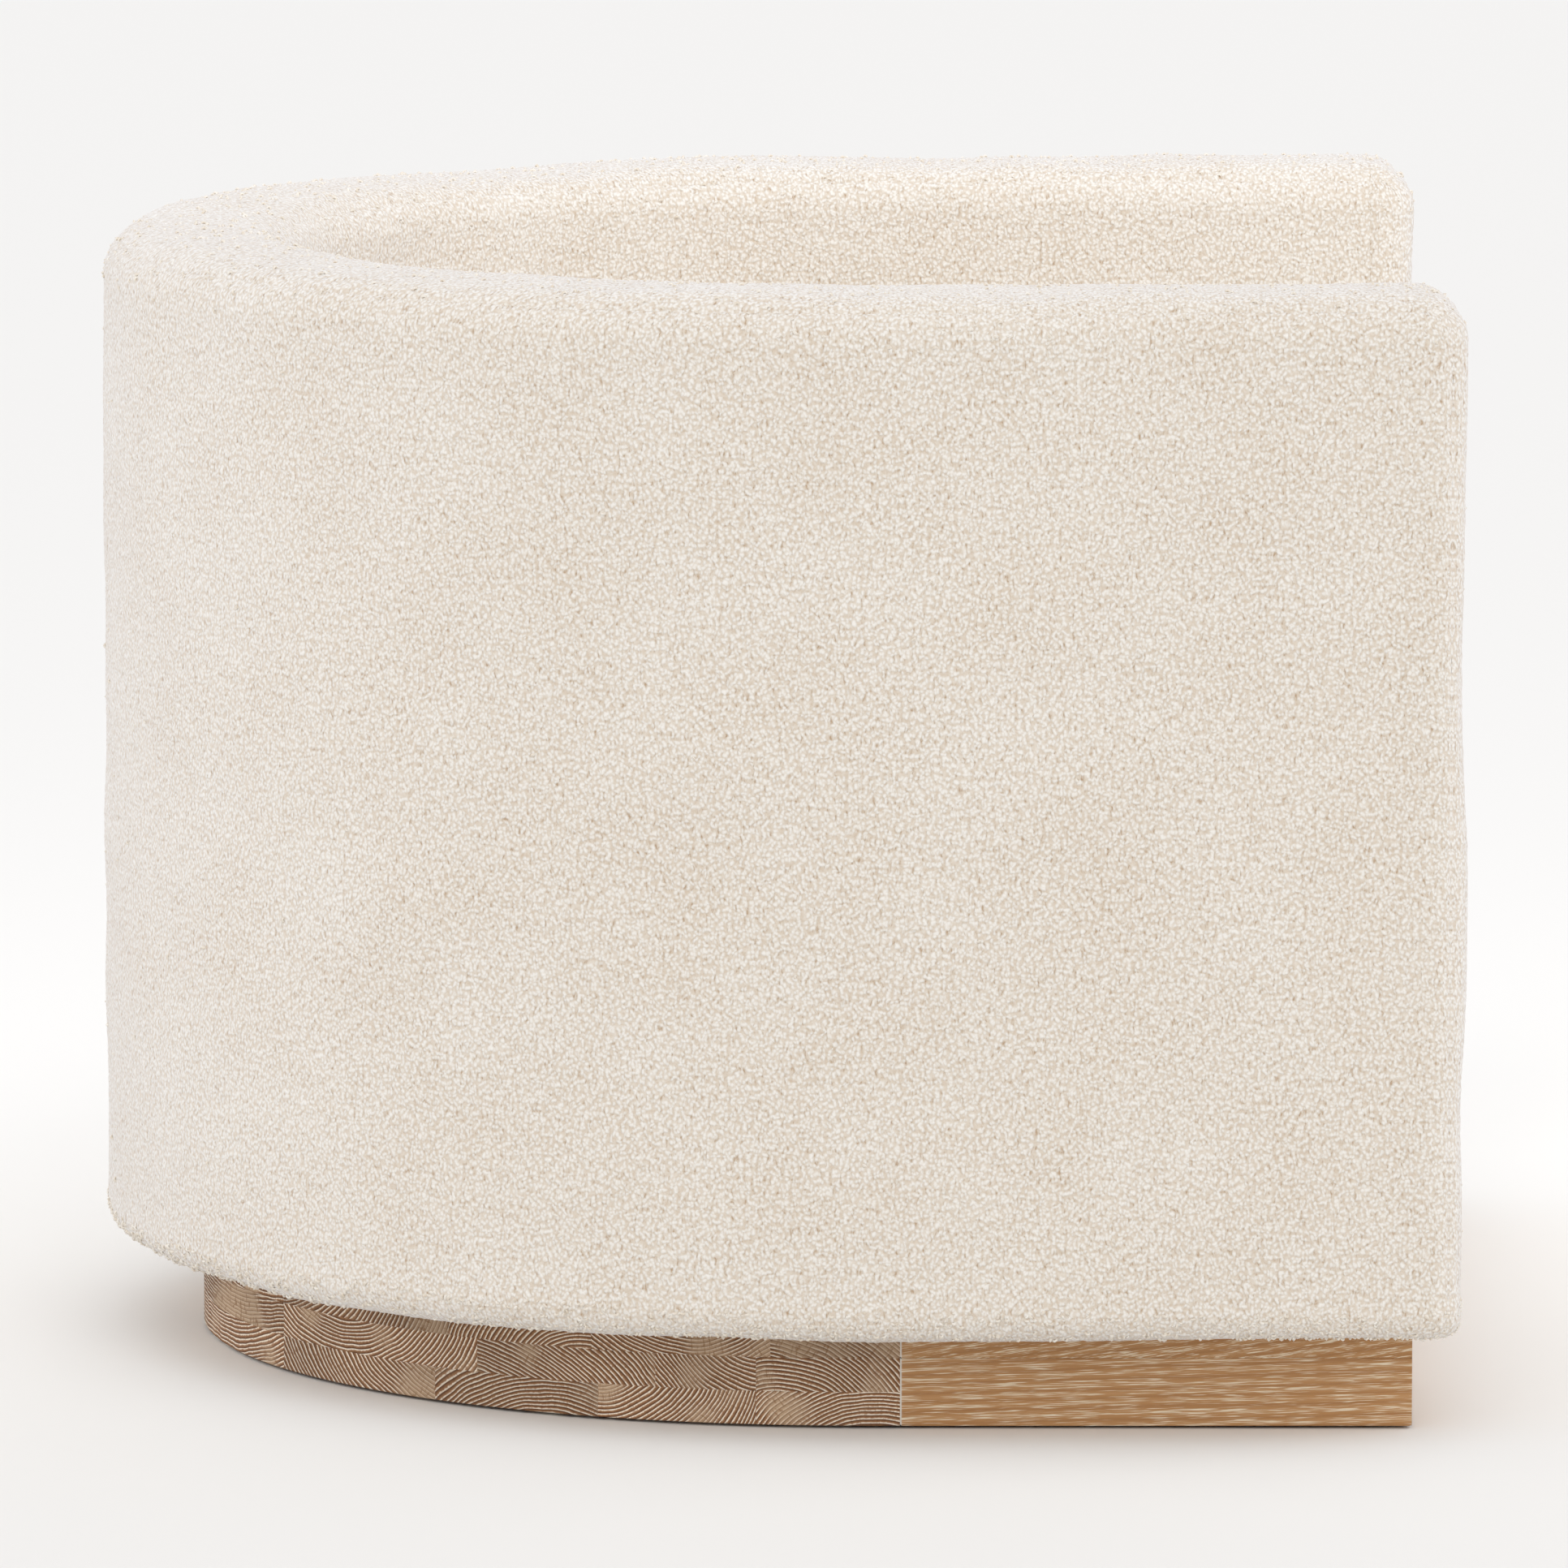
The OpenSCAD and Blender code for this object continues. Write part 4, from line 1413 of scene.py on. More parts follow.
@dataclass
class SeatCushion:
    """The loose seat cushion: a D-shaped boxed cushion with a zip round its back.

    Its fields are the wall's sizes, whose arc the cushion shares, the materials of
    cloth and zip tape, the step of the grids, the height of the dome, the lip at
    the seams and its share under the cushion, how far the upper seam lies below the
    lip, the radius of the front corners in plan, the bulge of the side band and how
    far it is set in at the seams, the seams' valleys, and the zip's half angle and
    tooth pitch.
    """

    s: WallSizes
    cloth: bpy.types.Material
    tape: bpy.types.Material
    step: float = 3.2 * MM
    crown: float = 11 * MM
    lip: float = 9 * MM
    under_lip: float = 0.35
    seam_sink: float = 2 * MM
    corner: float = 28 * MM
    bulge: float = 2.5 * MM
    band_set_in: float = 1.0 * MM
    seam_width: float = 3.4 * MM
    seam_depth: float = 2.2 * MM
    zip_half: float = math.radians(55)
    tooth_pitch: float = 2.4 * MM
    pile: LoopedPile = LoopedPile()

    def __post_init__(self) -> None:
        """Reads the cushion's corners and radius from its CAD panels."""
        self.low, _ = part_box("cushion_bottom_panel")
        _, self.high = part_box("cushion_top_panel")
        self.radius = self.high.x

    def outline(self, inset: float, count: int) -> tuple[np.ndarray, np.ndarray]:
        """Closed plan outline and its outward directions.

        The same share of the way round always lies on the same stretch, so outlines
        of different insets match point for point.

        Args:
            inset: distance inside the cushion's edge.
            count: number of points.

        Returns:
            Points and outward directions.
        """
        y_arc, y_low = self.s.y_arc, self.low.y
        r, c = self.radius, self.corner
        side = y_arc - y_low - c
        front = 2 * (r - c)
        lengths = np.array([math.pi * r, side, math.pi / 2 * c, front, math.pi / 2 * c, side])
        ends = np.concatenate([[0.0], np.cumsum(lengths)])
        at = np.arange(count) / count * ends[-1]
        which = np.searchsorted(ends, at, side="right") - 1
        t = (at - ends[which]) / lengths[which]
        centre = np.zeros((count, 2))
        turn = np.zeros(count)
        reach = np.full(count, c)
        for k, (start, end, a0, a1) in enumerate([
            ((0, y_arc), (0, y_arc), 0, math.pi),
            ((-r + c, y_arc), (-r + c, y_low + c), math.pi, math.pi),
            ((-r + c, y_low + c), (-r + c, y_low + c), math.pi, 1.5 * math.pi),
            ((-r + c, y_low + c), (r - c, y_low + c), 1.5 * math.pi, 1.5 * math.pi),
            ((r - c, y_low + c), (r - c, y_low + c), 1.5 * math.pi, 2 * math.pi),
            ((r - c, y_low + c), (r - c, y_arc), 2 * math.pi, 2 * math.pi),
        ]):
            on = which == k
            centre[on] = np.array(start) + (np.array(end) - np.array(start)) * t[on, None]
            turn[on] = a0 + (a1 - a0) * t[on]
            if k == 0:
                reach[on] = r
        out = np.stack([np.cos(turn), np.sin(turn)], 1)
        return centre + (reach - inset)[:, None] * out, out

    def _panel_points(self, top: bool) -> tuple[np.ndarray, np.ndarray]:
        """Top or bottom panel as rings that shrink from the seam to the middle.

        A ring's share of the way in is k. Its points run in a straight line from the
        outline to the panel's middle. Its height follows a quarter circle lip at the
        seam and then, on top, a low dome.

        Args:
            top: whether this is the top panel.

        Returns:
            Points and UVs in metres.
        """
        edge, _ = self.outline(0.0, self.around)
        middle = np.array([0.0, (self.s.y_arc + self.low.y) / 2 + 0.05])
        rings = math.ceil(self.radius / self.step)
        k = np.linspace(0, 1, rings)[:, None]
        plan = edge[None] * (1 - k[..., None]) + middle * k[..., None]
        inset = k * self.radius
        lip = self.lip * np.sqrt(1 - np.clip(1 - inset / (1.6 * self.lip), 0, 1) ** 2)
        low_seam, high_seam = self.seam_heights
        if top:
            dome = self.crown * np.sin(math.pi / 2 * np.clip(inset / (0.8 * self.radius), 0, 1))
            z = high_seam + (lip + dome + 0 * plan[..., 0])
        else:
            z = low_seam - self.under_lip * lip + 0 * plan[..., 0]
        return np.concatenate([plan, z[..., None]], 2), plan + 2.0

    @property
    def seam_heights(self) -> tuple[float, float]:
        """Heights of the lower and the upper seam."""
        return self.low.z + self.lip * self.under_lip, self.high.z - self.lip - self.seam_sink

    @property
    def around(self) -> int:
        """Number of points round the cushion."""
        length = math.pi * self.radius + 2 * (self.s.y_arc - self.low.y) + 2 * self.radius
        return math.ceil(length / self.step)

    def build(self) -> None:
        """Builds the panels, the boxing between them and the zip."""
        self._build_panel(True)
        self._build_panel(False)
        self._build_boxing()
        self._build_zip()

    def _shape(
        self,
        name: str,
        points: np.ndarray,
        uv: np.ndarray,
        normal_to: np.ndarray,
        seams: np.ndarray,
        seed: int,
    ) -> bpy.types.Object:
        """Adds pile and seam valleys to a grid that closes round the cushion and makes it a piece.

        Args:
            name: the piece's name.
            points: grid of points, whose second axis goes round.
            uv: distances on the cloth.
            normal_to: directions that it faces.
            seams: distances to the nearest seam.
            seed: picks the loops.

        Returns:
            The piece.
        """
        closed = np.concatenate([points[:, -1:], points, points[:, :1]], 1)
        normal = grid_normals(closed)[:, 1:-1]
        facing = np.sum(normal * normal_to, axis=2, keepdims=True)
        normal = np.where(np.abs(facing) < 1e-9, normal_to, np.where(facing < 0, -normal, normal))
        u, v = uv[..., 0], uv[..., 1]
        relief = self.pile.relief(u, v, seed) * np.clip(seams / (4 * MM), 0.3, 1)
        valley = self.seam_depth * np.exp(-((seams / self.seam_width) ** 2))
        shifted = points + (relief - valley)[..., None] * normal
        quads = grid_faces(*points.shape[:2], wrap=True)
        flat = shifted.reshape(-1, 3)
        a, b, c = (flat[quads[:, k]] for k in (0, 1, 2))
        face = np.cross(b - a, c - a)
        want = np.broadcast_to(normal_to, points.shape).reshape(-1, 3)[quads[:, 0]]
        if np.sum(face * want) < 0:
            quads = quads[:, ::-1]
        piece = mesh_object(name, flat, quads, uv.reshape(-1, 2))
        settle(piece, "seat_cushion", Slot.BOUCLE, self.cloth)
        return piece

    def _build_panel(self, top: bool) -> None:
        """Builds the top or the bottom panel.

        Args:
            top: whether this is the top panel.
        """
        points, uv = self._panel_points(top)
        rings = len(points)
        seams = np.linspace(0, self.radius, rings)[:, None] + 0 * uv[..., 0]
        facing = np.array([0.0, 0.0, 1.0 if top else -1.0])
        if top:
            sink = soft_noise(uv[..., 0], uv[..., 1], 0.23, 91) * np.clip(seams / (60 * MM), 0, 1)
            points[..., 2] += 1.8 * MM * sink
        name = "cushion_top_cloth" if top else "cushion_bottom_cloth"
        piece = self._shape(name, points, uv, facing, seams, 92 if top else 93)
        nodes = ("cushion_top_panel", "cushion_foam") if top else ("cushion_bottom_panel",)
        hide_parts(*nodes)

    def _build_boxing(self) -> None:
        """Builds the side band, which bulges between its seams and sinks where the zip is let in.

        The sunk patch is the product of a flat-topped bell over the height and a
        smooth step past each end of the zip.
        """
        edge, out = self.outline(0.0, self.around)
        z0, z1 = self.seam_heights
        rows = math.ceil((z1 - z0) / self.step)
        t = np.linspace(0, 1, rows)[:, None]
        bulge = self.bulge * np.sin(math.pi * t) - self.band_set_in
        length = np.arange(len(edge)) * self.step
        creases = soft_noise(length[None, :] + 0 * t, 0.13 * t + 0 * length, 0.09, 94)
        bulge = bulge + 1.0 * MM * creases * np.sin(math.pi * t)
        zip_low, zip_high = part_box("cushion_zip")
        from_zip = (z0 + (z1 - z0) * t - (zip_low.z + zip_high.z) / 2) / (10 * MM)
        turn = np.arctan2(edge[:, 1] - self.s.y_arc, edge[:, 0])
        past_end = (np.abs(turn - math.pi / 2) - self.zip_half) * self.radius / (6 * MM)
        let_in = np.exp(-(from_zip**4)) / (1 + np.exp(np.clip(4 * past_end, -30, 30)))[None, :]
        bulge = bulge * (1 - let_in)
        plan = edge[None] + bulge[..., None] * out[None]
        z = z0 + (z1 - z0) * t + 0 * plan[..., 0]
        points = np.concatenate([plan, z[..., None]], 2)
        uv = np.stack(np.broadcast_arrays(length[None, :], (z1 - z0) * t), 2)
        seams = np.minimum(t, 1 - t) * (z1 - z0) + 0 * uv[..., 0]
        seams = np.minimum(seams, 20 * MM * (1 - let_in))
        facing = np.concatenate([out, 0 * out[:, :1]], 1)[None] + 0 * points
        piece = self._shape("cushion_boxing_cloth", points, uv, facing, seams, 95)
        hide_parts("cushion_boxing")

    def _build_zip(self) -> None:
        """Builds the zip: a tape along the back with a row of interlocking teeth on it.

        A tooth is a flattened ring of wire: an ellipse with the radii tall and thick
        across the tape, staggered up and down by turns.
        """
        low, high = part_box("cushion_zip")
        z_mid = (low.z + high.z) / 2
        r, half = self.radius, self.zip_half
        turn = np.linspace(math.pi / 2 - half, math.pi / 2 + half, 420)
        profile = MM * np.array([
            [-1.5, -9.0], [0.6, -8.6], [1.2, -6.0], [1.2, -2.6],
            [1.2, 2.6], [1.2, 6.0], [0.6, 8.6], [-1.5, 9.0],
        ])
        radius = r + profile[None, :, 0] + 0 * turn[:, None]
        x, y = radius * np.cos(turn)[:, None], self.s.y_arc + radius * np.sin(turn)[:, None]
        points = np.stack([x, y, z_mid + profile[None, :, 1] + 0 * turn[:, None]], 2)
        quads = grid_faces(*points.shape[:2])
        tape = mesh_object("zip_tape", points.reshape(-1, 3), quads, np.tile(profile, (len(turn), 1)) + 3.0)
        settle(tape, "seat_cushion", Slot.ZIP_TAPE, self.tape, "cushion_zip")
        tall, thick, wire, stagger, proud = 1.5 * MM, 0.7 * MM, 0.45 * MM, 0.8 * MM, 1.6 * MM
        count = int(2 * half * r / self.tooth_pitch)
        at = np.linspace(math.pi / 2 - half, math.pi / 2 + half, count)
        up = np.where(np.arange(count) % 2, 1.0, -1.0) * stagger
        loop = np.linspace(0, 2 * math.pi, 9)[:-1]
        tube = np.array([[1.0, 0.0], [0.0, 1.0], [-1.0, 0.0], [0.0, -1.0]]) * wire
        z = z_mid + up[:, None, None] + (tall + tube[None, None, :, 0]) * np.cos(loop)[None, :, None]
        rad = r + proud + (thick + tube[None, None, :, 0]) * np.sin(loop)[None, :, None]
        shift = (tube[None, None, :, 1] + 0 * rad) / r
        angle = at[:, None, None] + shift
        teeth = np.stack([rad * np.cos(angle), self.s.y_arc + rad * np.sin(angle), z + 0 * rad], 3)
        per = len(loop) * len(tube)
        quads = grid_faces(len(loop) + 1, len(tube), wrap=True) % per
        faces = (quads[None] + per * np.arange(count)[:, None, None]).reshape(-1, 4)
        chain = mesh_object("zip_teeth", teeth.reshape(-1, 3), faces)
        settle(chain, "seat_cushion", Slot.ZIP_TAPE, self.tape)


# ---------------------------------------------------------------------- plinth


@dataclass
class Plinth:
    """The set-back plinth: three glued layers of oak, staves round the curve and boards in front.

    Its fields are the wall's sizes, the end grain's material, the finish of the
    boards, the easing of the lowest edge, the tiny easing at the glue lines, the
    width of the glue line between staves, and for each layer the shares of the
    plinth's depth at which its staves meet.
    """

    s: WallSizes
    staves: bpy.types.Material
    long_grain: LimedLongGrain
    chamfer: float = 0.6 * MM
    groove: float = 0.06 * MM
    joint: float = 0.02 * MM
    board_ease: float = 1.0 * MM
    splits: tuple[tuple[float, ...], ...] = (
        (0.20, 0.42, 0.65, 0.87),
        (0.20, 0.34, 0.59, 0.87),
        (0.18, 0.43, 0.63, 0.87),
    )

    def __post_init__(self) -> None:
        """Reads the ring's radii, seam, depth and heights from the CAD nodes."""
        low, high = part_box("plinth_layer_bottom")
        side_low, side_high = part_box("plinth_side_right")
        self.r_out = high.x
        self.r_in = side_low.x
        self.y_seam = low.y
        self.depth = self.s.y_arc + high.x - low.y
        self.y_front = side_low.y
        self.z_low, self.z_high = side_low.z, side_high.z

    def _stave(
        self, y0: float, y1: float, z0: float, z1: float, whole: bool
    ) -> tuple[np.ndarray, np.ndarray]:
        """One stave of the right half, or the last one across the back, as a closed shape.

        Its section is a rectangle with eased corners in radius and height. Each
        corner of the section runs along its own arc between the planes at the
        stave's two ends: a straight stretch in front of the arc's centre, then an
        angle whose sine is the depth over the radius.

        Args:
            y0: depth of its front end.
            y1: depth of its back end.
            z0: its underside.
            z1: its top.
            whole: whether it crosses the middle of the back.

        Returns:
            Points and quads.
        """
        c, g = (self.chamfer if z0 < self.z_low + 1 * MM else self.groove), self.groove
        r_low = max(self.r_in, y0 - self.s.y_arc + 1 * MM) if whole else self.r_in
        r_out = self.r_out
        face = [[r_out, z] for z in np.linspace(z0 + c, z1 - g, 4)]
        section = np.array([[r_low, z0], [r_out - c, z0], *face, [r_out - g, z1], [r_low, z1]])
        r = section[:, 0][None, :]

        def run(y: float) -> np.ndarray:
            """Distance along each radius's own line at which it reaches depth y."""
            d = y - self.s.y_arc
            return d + 0 * r if d < 0 else r * np.arcsin(np.minimum(1.0, d / r))

        start = run(y0)
        end = r * math.pi - start if whole else run(y1)
        steps = max(8, int(float((end - start).max()) / (4 * MM)))
        path = start + (end - start) * np.linspace(0, 1, steps)[:, None]
        angle = np.maximum(path, 0) / r
        x = r * np.cos(angle)
        y = self.s.y_arc + np.where(path < 0, path, r * np.sin(angle))
        points = np.stack([x, y, section[:, 1][None, :] + 0 * x], 2)
        n = len(section)
        quads = grid_faces(steps, n, wrap=True)
        flat = points.reshape(-1, 3)
        caps = []
        for row, order in ((0, [0, 1, 2, 2]), (steps - 1, [0, 2, 1, 1])):
            flat = np.concatenate([flat, points[row].mean(0)[None]])
            ring = row * n + np.arange(n)
            fan = np.stack([np.full(n, len(flat) - 1), ring, np.roll(ring, -1)], 1)
            caps.append(fan[:, order])
        return flat, np.concatenate([quads] + caps)

    def layer(self, index: int, name: str) -> bpy.types.Object:
        """Builds one layer of staves.

        Each stave's pith lies 30 to 110 mm above or below it, by turns, so its rings
        curve the other way from its neighbours'.

        Args:
            index: 0 for the lowest layer.
            name: name of the CAD layer.

        Returns:
            The piece.
        """
        low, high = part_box(name)
        rng = np.random.default_rng(101 + index)
        ends = [self.y_seam + share * self.depth for share in (0.0, *self.splits[index], 1.0)]
        all_points, all_quads, all_pith, count = [], [], [], 0
        for k in range(len(ends) - 1):
            whole = k == len(ends) - 2
            points, quads = self._stave(
                ends[k] + self.joint, ends[k + 1] - self.joint, low.z, high.z, whole
            )
            for side in ((1,) if whole else (1, -1)):
                own = points * np.array([side, 1.0, 1.0])
                tilt = 1 if (k + (side < 0)) % 2 else -1
                drop = tilt * (30 + 80 * rng.random()) * MM
                across = ends[k] + (ends[k + 1] - ends[k]) * (rng.random() * 1.7 - 0.35)
                pith = np.array([40 * rng.random(), across, (low.z + high.z) / 2 - drop])
                all_points.append(own)
                all_quads.append((quads if side > 0 else quads[:, ::-1]) + count)
                all_pith.append(np.tile(pith, (len(own), 1)))
                count += len(own)
        piece = self._board_mesh(f"oak_{name.removeprefix('plinth_')}", all_points, all_quads, all_pith)
        nodes = [n for n in (name, name.replace("layer", "back")) if n in frame["nodes"]]
        return settle(piece, "frame", Slot.END_GRAIN, self.staves, *nodes)

    def _board_mesh(
        self, name: str, points: list[np.ndarray], quads: list[np.ndarray], piths: list[np.ndarray]
    ) -> bpy.types.Object:
        """Joins boards in one mesh that carries each one's pith as an attribute.

        A mirrored triangle starts with its repeated corner, which moves to its end.

        Args:
            name: the piece's name.
            points: each board's points.
            quads: each board's faces, numbered through all of them.
            piths: each board's pith for each of its points.

        Returns:
            The piece, with its faces turned outwards.
        """
        faces = np.concatenate(quads)
        mirrored = faces[:, 0] == faces[:, 1]
        faces[mirrored] = faces[mirrored][:, [1, 2, 3, 3]]
        piece = mesh_object(name, np.concatenate(points), faces)
        mesh = piece.data
        attribute = mesh.attributes.new(PITH, "FLOAT_VECTOR", "POINT")
        attribute.data.foreach_set("vector", np.concatenate(piths).astype(np.float32).ravel())
        turn_outwards(mesh)
        mesh.shade_smooth()
        mesh.set_sharp_from_angle(angle=math.radians(35))
        return piece

    def boards(self, name: str, outline: list[tuple[float, float]], along_x: bool) -> bpy.types.Object:
        """Builds two long boards glued one on the other.

        Their edges are eased: the outline draws in along the corners' diagonals.

        Args:
            name: name of the CAD node.
            outline: plan corners.
            along_x: whether the grain runs along X.

        Returns:
            The piece.
        """
        third = (self.z_high - self.z_low) / 3
        points, quads, piths, count = [], [], [], 0
        corners = np.array(outline)
        centre = corners.mean(0)
        n = len(corners)
        ease, diagonal = self.board_ease, 1.4
        for z0, z1, shift in (
            (self.z_low, self.z_low + 2 * third - self.joint, (0.0, 0.31, 0.0)),
            (self.z_low + 2 * third, self.z_high, (0.07, 0.83, 1.0)),
        ):
            inward = (centre - corners) / np.linalg.norm(centre - corners, axis=1, keepdims=True)
            levels = [(z0, ease), (z0 + ease, 0.0), (z1 - self.groove, 0.0), (z1, self.groove)]
            block = np.concatenate([
                np.concatenate([corners + d * diagonal * inward, np.full((n, 1), z)], 1)
                for z, d in levels
            ])
            faces = grid_faces(len(levels), n, wrap=True)
            top = 3 * n
            caps = np.array([[3, 2, 1, 0], [top, top + 1, top + 2, top + 3]])
            points.append(block)
            quads.append(np.concatenate([faces, caps]) + count)
            own = np.array([shift[0] + corners[0].sum() * 0.37, shift[1], shift[2]])
            piths.append(np.tile(own, (len(block), 1)))
            count += len(block)
        piece = self._board_mesh(f"oak_{name.removeprefix('plinth_')}", points, quads, piths)
        finish = self.long_grain.material(
            f"limed_oak_{name.removeprefix('plinth_')}", along_x, None if along_x else self.y_seam
        )
        bevel = piece.modifiers.new("eased edges", "BEVEL")
        bevel.width, bevel.segments, bevel.limit_method = 0.25 * MM, 1, "ANGLE"
        return settle(piece, "frame", Slot.LONG_GRAIN, finish, name)

    def build(self) -> None:
        """Builds the three layers and the three boards."""
        for index, name in enumerate(("plinth_layer_bottom", "plinth_layer_middle", "plinth_layer_top")):
            self.layer(index, name)
        ring = self.r_out - self.r_in
        for side in Side:
            k = side.value
            outline = [
                (k * self.r_out, self.y_seam), (k * self.r_out, self.y_front),
                (k * self.r_in, self.y_front + ring), (k * self.r_in, self.y_seam),
            ]
            self.boards(f"plinth_side_{side.name.lower()}", outline, along_x=False)
        self.boards(
            "plinth_front",
            [(-self.r_out, self.y_front), (self.r_out, self.y_front),
             (self.r_in, self.y_front + ring), (-self.r_in, self.y_front + ring)],
            along_x=True,
        )


# -------------------------------------------------------------- carried nodes


@dataclass
class CarriedParts:
    """The CAD nodes that stay as they are: frame, seat, fastenings and glides."""

    finishes: dict[Slot, Plain] = field(
        default_factory=lambda: {
            Slot.BEECH: Plain("steamed_beech", "C8A27A", "DDBD96", 6 * MM, (1.0, 1.0, 0.08)),
            Slot.STEEL: Plain(
                "zinc_plated_screws", "A9ABAD", "C9CBCC", 0.6 * MM, roughness=0.35, metallic=1.0
            ),
            Slot.FELT: Plain("pressed_wool_felt", "221C18", "3A312B", 0.5 * MM, roughness=0.95),
            Slot.LINING: Plain("black_non_woven", "101010", "1E1E1D", 0.8 * MM, roughness=0.9),
            Slot.PLYWOOD: Plain(
                "birch_plywood", "C7A67C", "DFC69E", 9 * MM, (1.0, 0.15, 1.0), roughness=0.7
            ),
            Slot.WEBBING: Plain("elastic_webbing", "3B2A1C", "7A5A3A", 1.2 * MM, roughness=0.85),
            Slot.HESSIAN: Plain("jute_hessian", "8F7450", "B79B70", 0.9 * MM, roughness=0.95),
            Slot.FOAM: Plain("polyether_foam", "DDD2AC", "EFE7C8", 1.0 * MM, roughness=0.9),
            Slot.ZIP_METAL: Plain(
                "nickel_zip_slider", "9C9A96", "C6C3BD", 0.5 * MM, roughness=0.3, metallic=1.0
            ),
        }
    )

    def build(self) -> None:
        """Gives each carried node the finish of its slot."""
        made: dict[str, bpy.types.Material] = {}
        slots = {p["node"]: p["material_slot"] for p in frame["record"]["subparts"]}
        by_name = {slot.value: finish for slot, finish in self.finishes.items()}
        for node, piece in frame["nodes"].items():
            finish = by_name.get(slots[node])
            if finish is None:
                continue
            if finish.name not in made:
                made[finish.name] = finish.material()
            piece.data.materials.clear()
            piece.data.materials.append(made[finish.name])
        LOG.info("carried nodes: %d finishes", len(made))


# ---------------------------------------------------------------------- studio


@dataclass(frozen=True)
class SoftBox:
    """A square area light: its name, place, target, side, power in watts and colour."""

    name: str
    place: tuple[float, float, float]
    target: tuple[float, float, float]
    side: float
    power: float
    colour: str


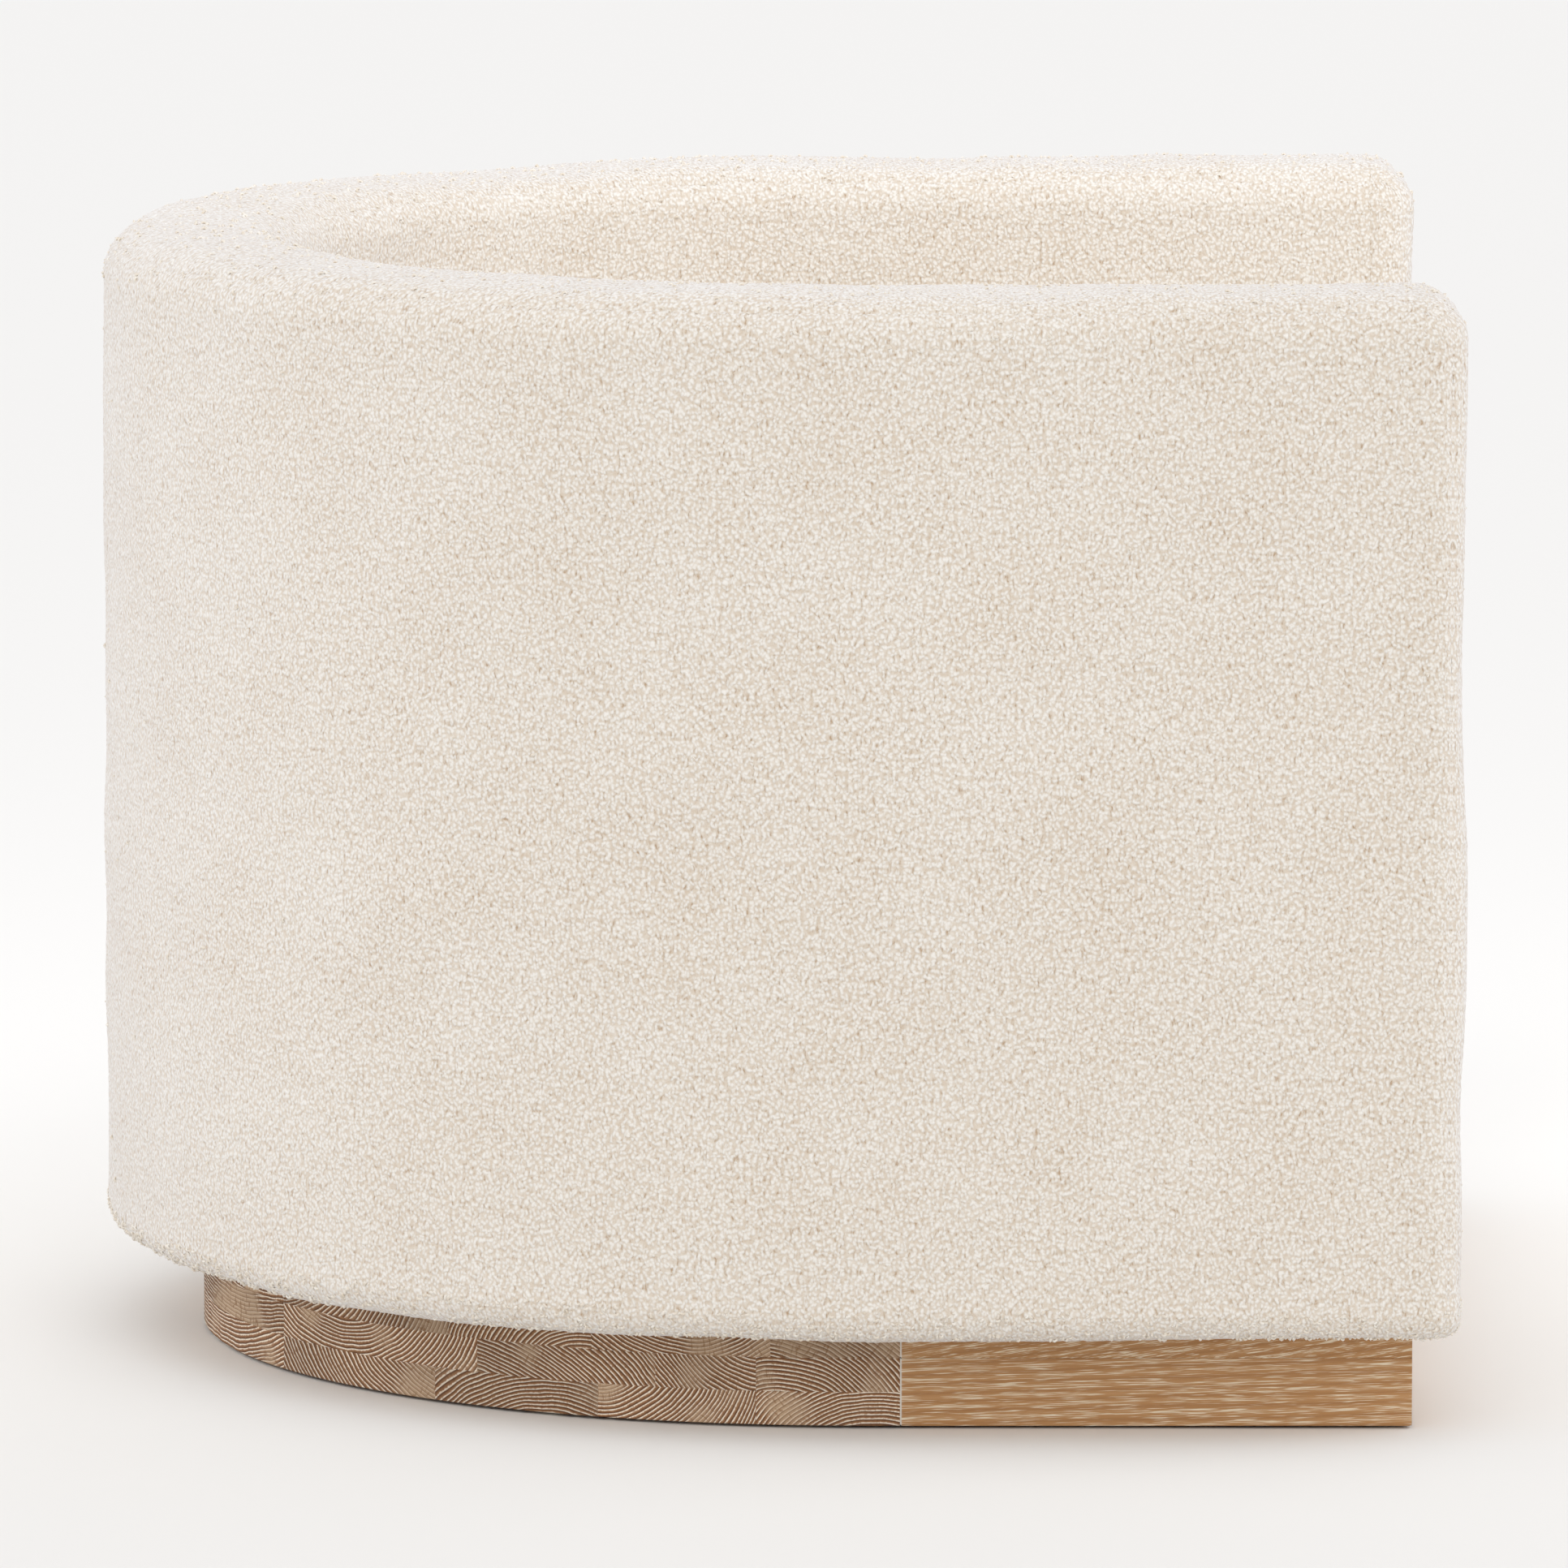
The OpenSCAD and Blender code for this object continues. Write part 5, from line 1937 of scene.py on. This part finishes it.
@dataclass
class Studio:
    """Pale floor, soft light and the camera that looks at the sofa's left side.

    Its fields are the camera's place, pitch and lens, half the floor's side, the floor's colour under
    painted shade near the camera and its own pale colour, and where along X each is reached, the surround's
    colour, the soft boxes, and the spot that shines into the seat.
    """

    camera_place: tuple[float, float, float] = (-10.371, -0.009, 1.749)
    pitch: float = math.radians(7.63)
    lens: float = 360.0
    floor_half: float = 60.0
    near_painted_shade: str = "E8E7E5"
    pale: str = "F7F6F4"
    near_painted_shade_x: float = -1.3
    pale_x: float = 0.4
    surround: str = "FCFCFD"
    boxes: tuple[SoftBox, ...] = (
        SoftBox("key", (-4.6, -0.2, 3.4), (0.0, 0.0, 0.4), 3.6, 33.0, "FFFAF6"),
        SoftBox("back fill", (0.3, 2.6, 1.3), (-0.3, 1.0, 0.0), 1.2, 8.0, "FBFBFF"),
        SoftBox("front fill", (0.1, -2.6, 1.3), (-0.3, -1.0, 0.0), 1.2, 9.0, "FBFBFF"),
    )
    spot_place: tuple[float, float, float] = (-0.75, -0.1, 1.85)
    spot_target: tuple[float, float, float] = (0.42, -0.1, 0.72)
    spot_power: float = 20.0
    spot_width: float = math.radians(64)
    spot_softness: float = 0.3
    spot_colour: str = "F4F8FF"

    def camera(self) -> None:
        """Long lens, level with a person's chest, looking along +X and slightly down."""
        data = bpy.data.cameras.new("camera")
        data.lens = self.lens
        data.sensor_width = 36.0
        data.clip_end = 200.0
        camera = bpy.data.objects.new("camera", data)
        camera.location = self.camera_place
        camera.rotation_euler = (math.pi / 2 - self.pitch, 0.0, -math.pi / 2)
        bpy.context.scene.collection.objects.link(camera)
        bpy.context.scene.camera = camera

    def floor(self) -> None:
        """A wide sheet of pale paper, darker towards the camera by painted shade."""
        half = self.floor_half
        points = np.array([[-half, -half, 0], [half, -half, 0], [half, half, 0], [-half, half, 0]], float)
        floor = mesh_object("floor", points, np.array([[0, 1, 2, 3]]))
        material, tree, shader = new_material("studio_paper")
        place = add(tree, "ShaderNodeTexCoord").outputs["Object"]
        where = add(tree, "ShaderNodeSeparateXYZ", {0: place})
        # Painted shade: the paper darkens from its own pale colour towards the camera.
        fade = add(
            tree,
            "ShaderNodeMapRange",
            {"Value": where.outputs["X"], "From Min": self.near_painted_shade_x, "From Max": self.pale_x},
            interpolation_type="SMOOTHSTEP",
        )
        colour = add(
            tree, "ShaderNodeValToRGB", {"Fac": fade.outputs[0]}, stops=[(0.0, self.near_painted_shade), (1.0, self.pale)]
        )
        tree.links.new(colour.outputs["Color"], shader.inputs["Base Color"])
        shader.inputs["Roughness"].default_value = 0.95
        shader.inputs["Specular IOR Level"].default_value = 0.05
        floor.data.materials.append(material)

    def _lamp(
        self,
        name: str,
        data: bpy.types.Light,
        place: tuple[float, float, float],
        target: tuple[float, float, float],
    ) -> None:
        """Hangs a light at a place, turned towards its target and hidden from the camera.

        Args:
            name: the lamp's name.
            data: its light.
            place: where it hangs.
            target: the point it shines at.
        """
        lamp = bpy.data.objects.new(name, data)
        lamp.location = place
        aim = np.array(target) - np.array(place)
        yaw = math.atan2(aim[1], aim[0])
        tilt = math.atan2(aim[2], math.hypot(aim[0], aim[1]))
        lamp.rotation_euler = (math.pi / 2 + tilt, 0.0, yaw - math.pi / 2)
        lamp.visible_camera = False
        bpy.context.scene.collection.objects.link(lamp)

    def light(self) -> None:
        """An even white surround, soft boxes, and a wide soft spot into the seat."""
        scene = bpy.context.scene
        world = bpy.data.worlds.new("surround")
        world.use_nodes = True
        back = world.node_tree.nodes["Background"]
        back.inputs["Color"].default_value = linear(self.surround)
        back.inputs["Strength"].default_value = 1.0
        scene.world = world
        for box in self.boxes:
            data = bpy.data.lights.new(box.name, "AREA")
            data.shape, data.size, data.energy = "SQUARE", box.side, box.power
            data.color = linear(box.colour)[:3]
            self._lamp(box.name, data, box.place, box.target)
        spot = bpy.data.lights.new("seat spot", "SPOT")
        spot.energy, spot.shadow_soft_size = self.spot_power, self.spot_softness
        spot.spot_size, spot.spot_blend = self.spot_width, 1.0
        spot.color = linear(self.spot_colour)[:3]
        self._lamp("seat spot", spot, self.spot_place, self.spot_target)
        scene.view_settings.view_transform = "Standard"

    def build(self) -> None:
        """Sets up camera, floor and light."""
        self.camera()
        self.floor()
        self.light()


def main() -> None:
    """Builds the whole scene in order."""
    logging.basicConfig(level=logging.INFO, format="%(name)s: %(message)s")
    Studio().build()
    sizes = WallSizes.from_frame()
    boucle = Boucle().material()
    Upholstery(sizes, boucle, Boucle().yarn()).build()
    tape = Plain("cotton_zip_tape", "CFC6B8", "E4DDD0", 0.8 * MM, roughness=0.9).material()
    SeatCushion(sizes, boucle, tape).build()
    Plinth(sizes, LimedEndGrain().material(), LimedLongGrain()).build()
    CarriedParts().build()


if __name__ == "__main__":
    main()
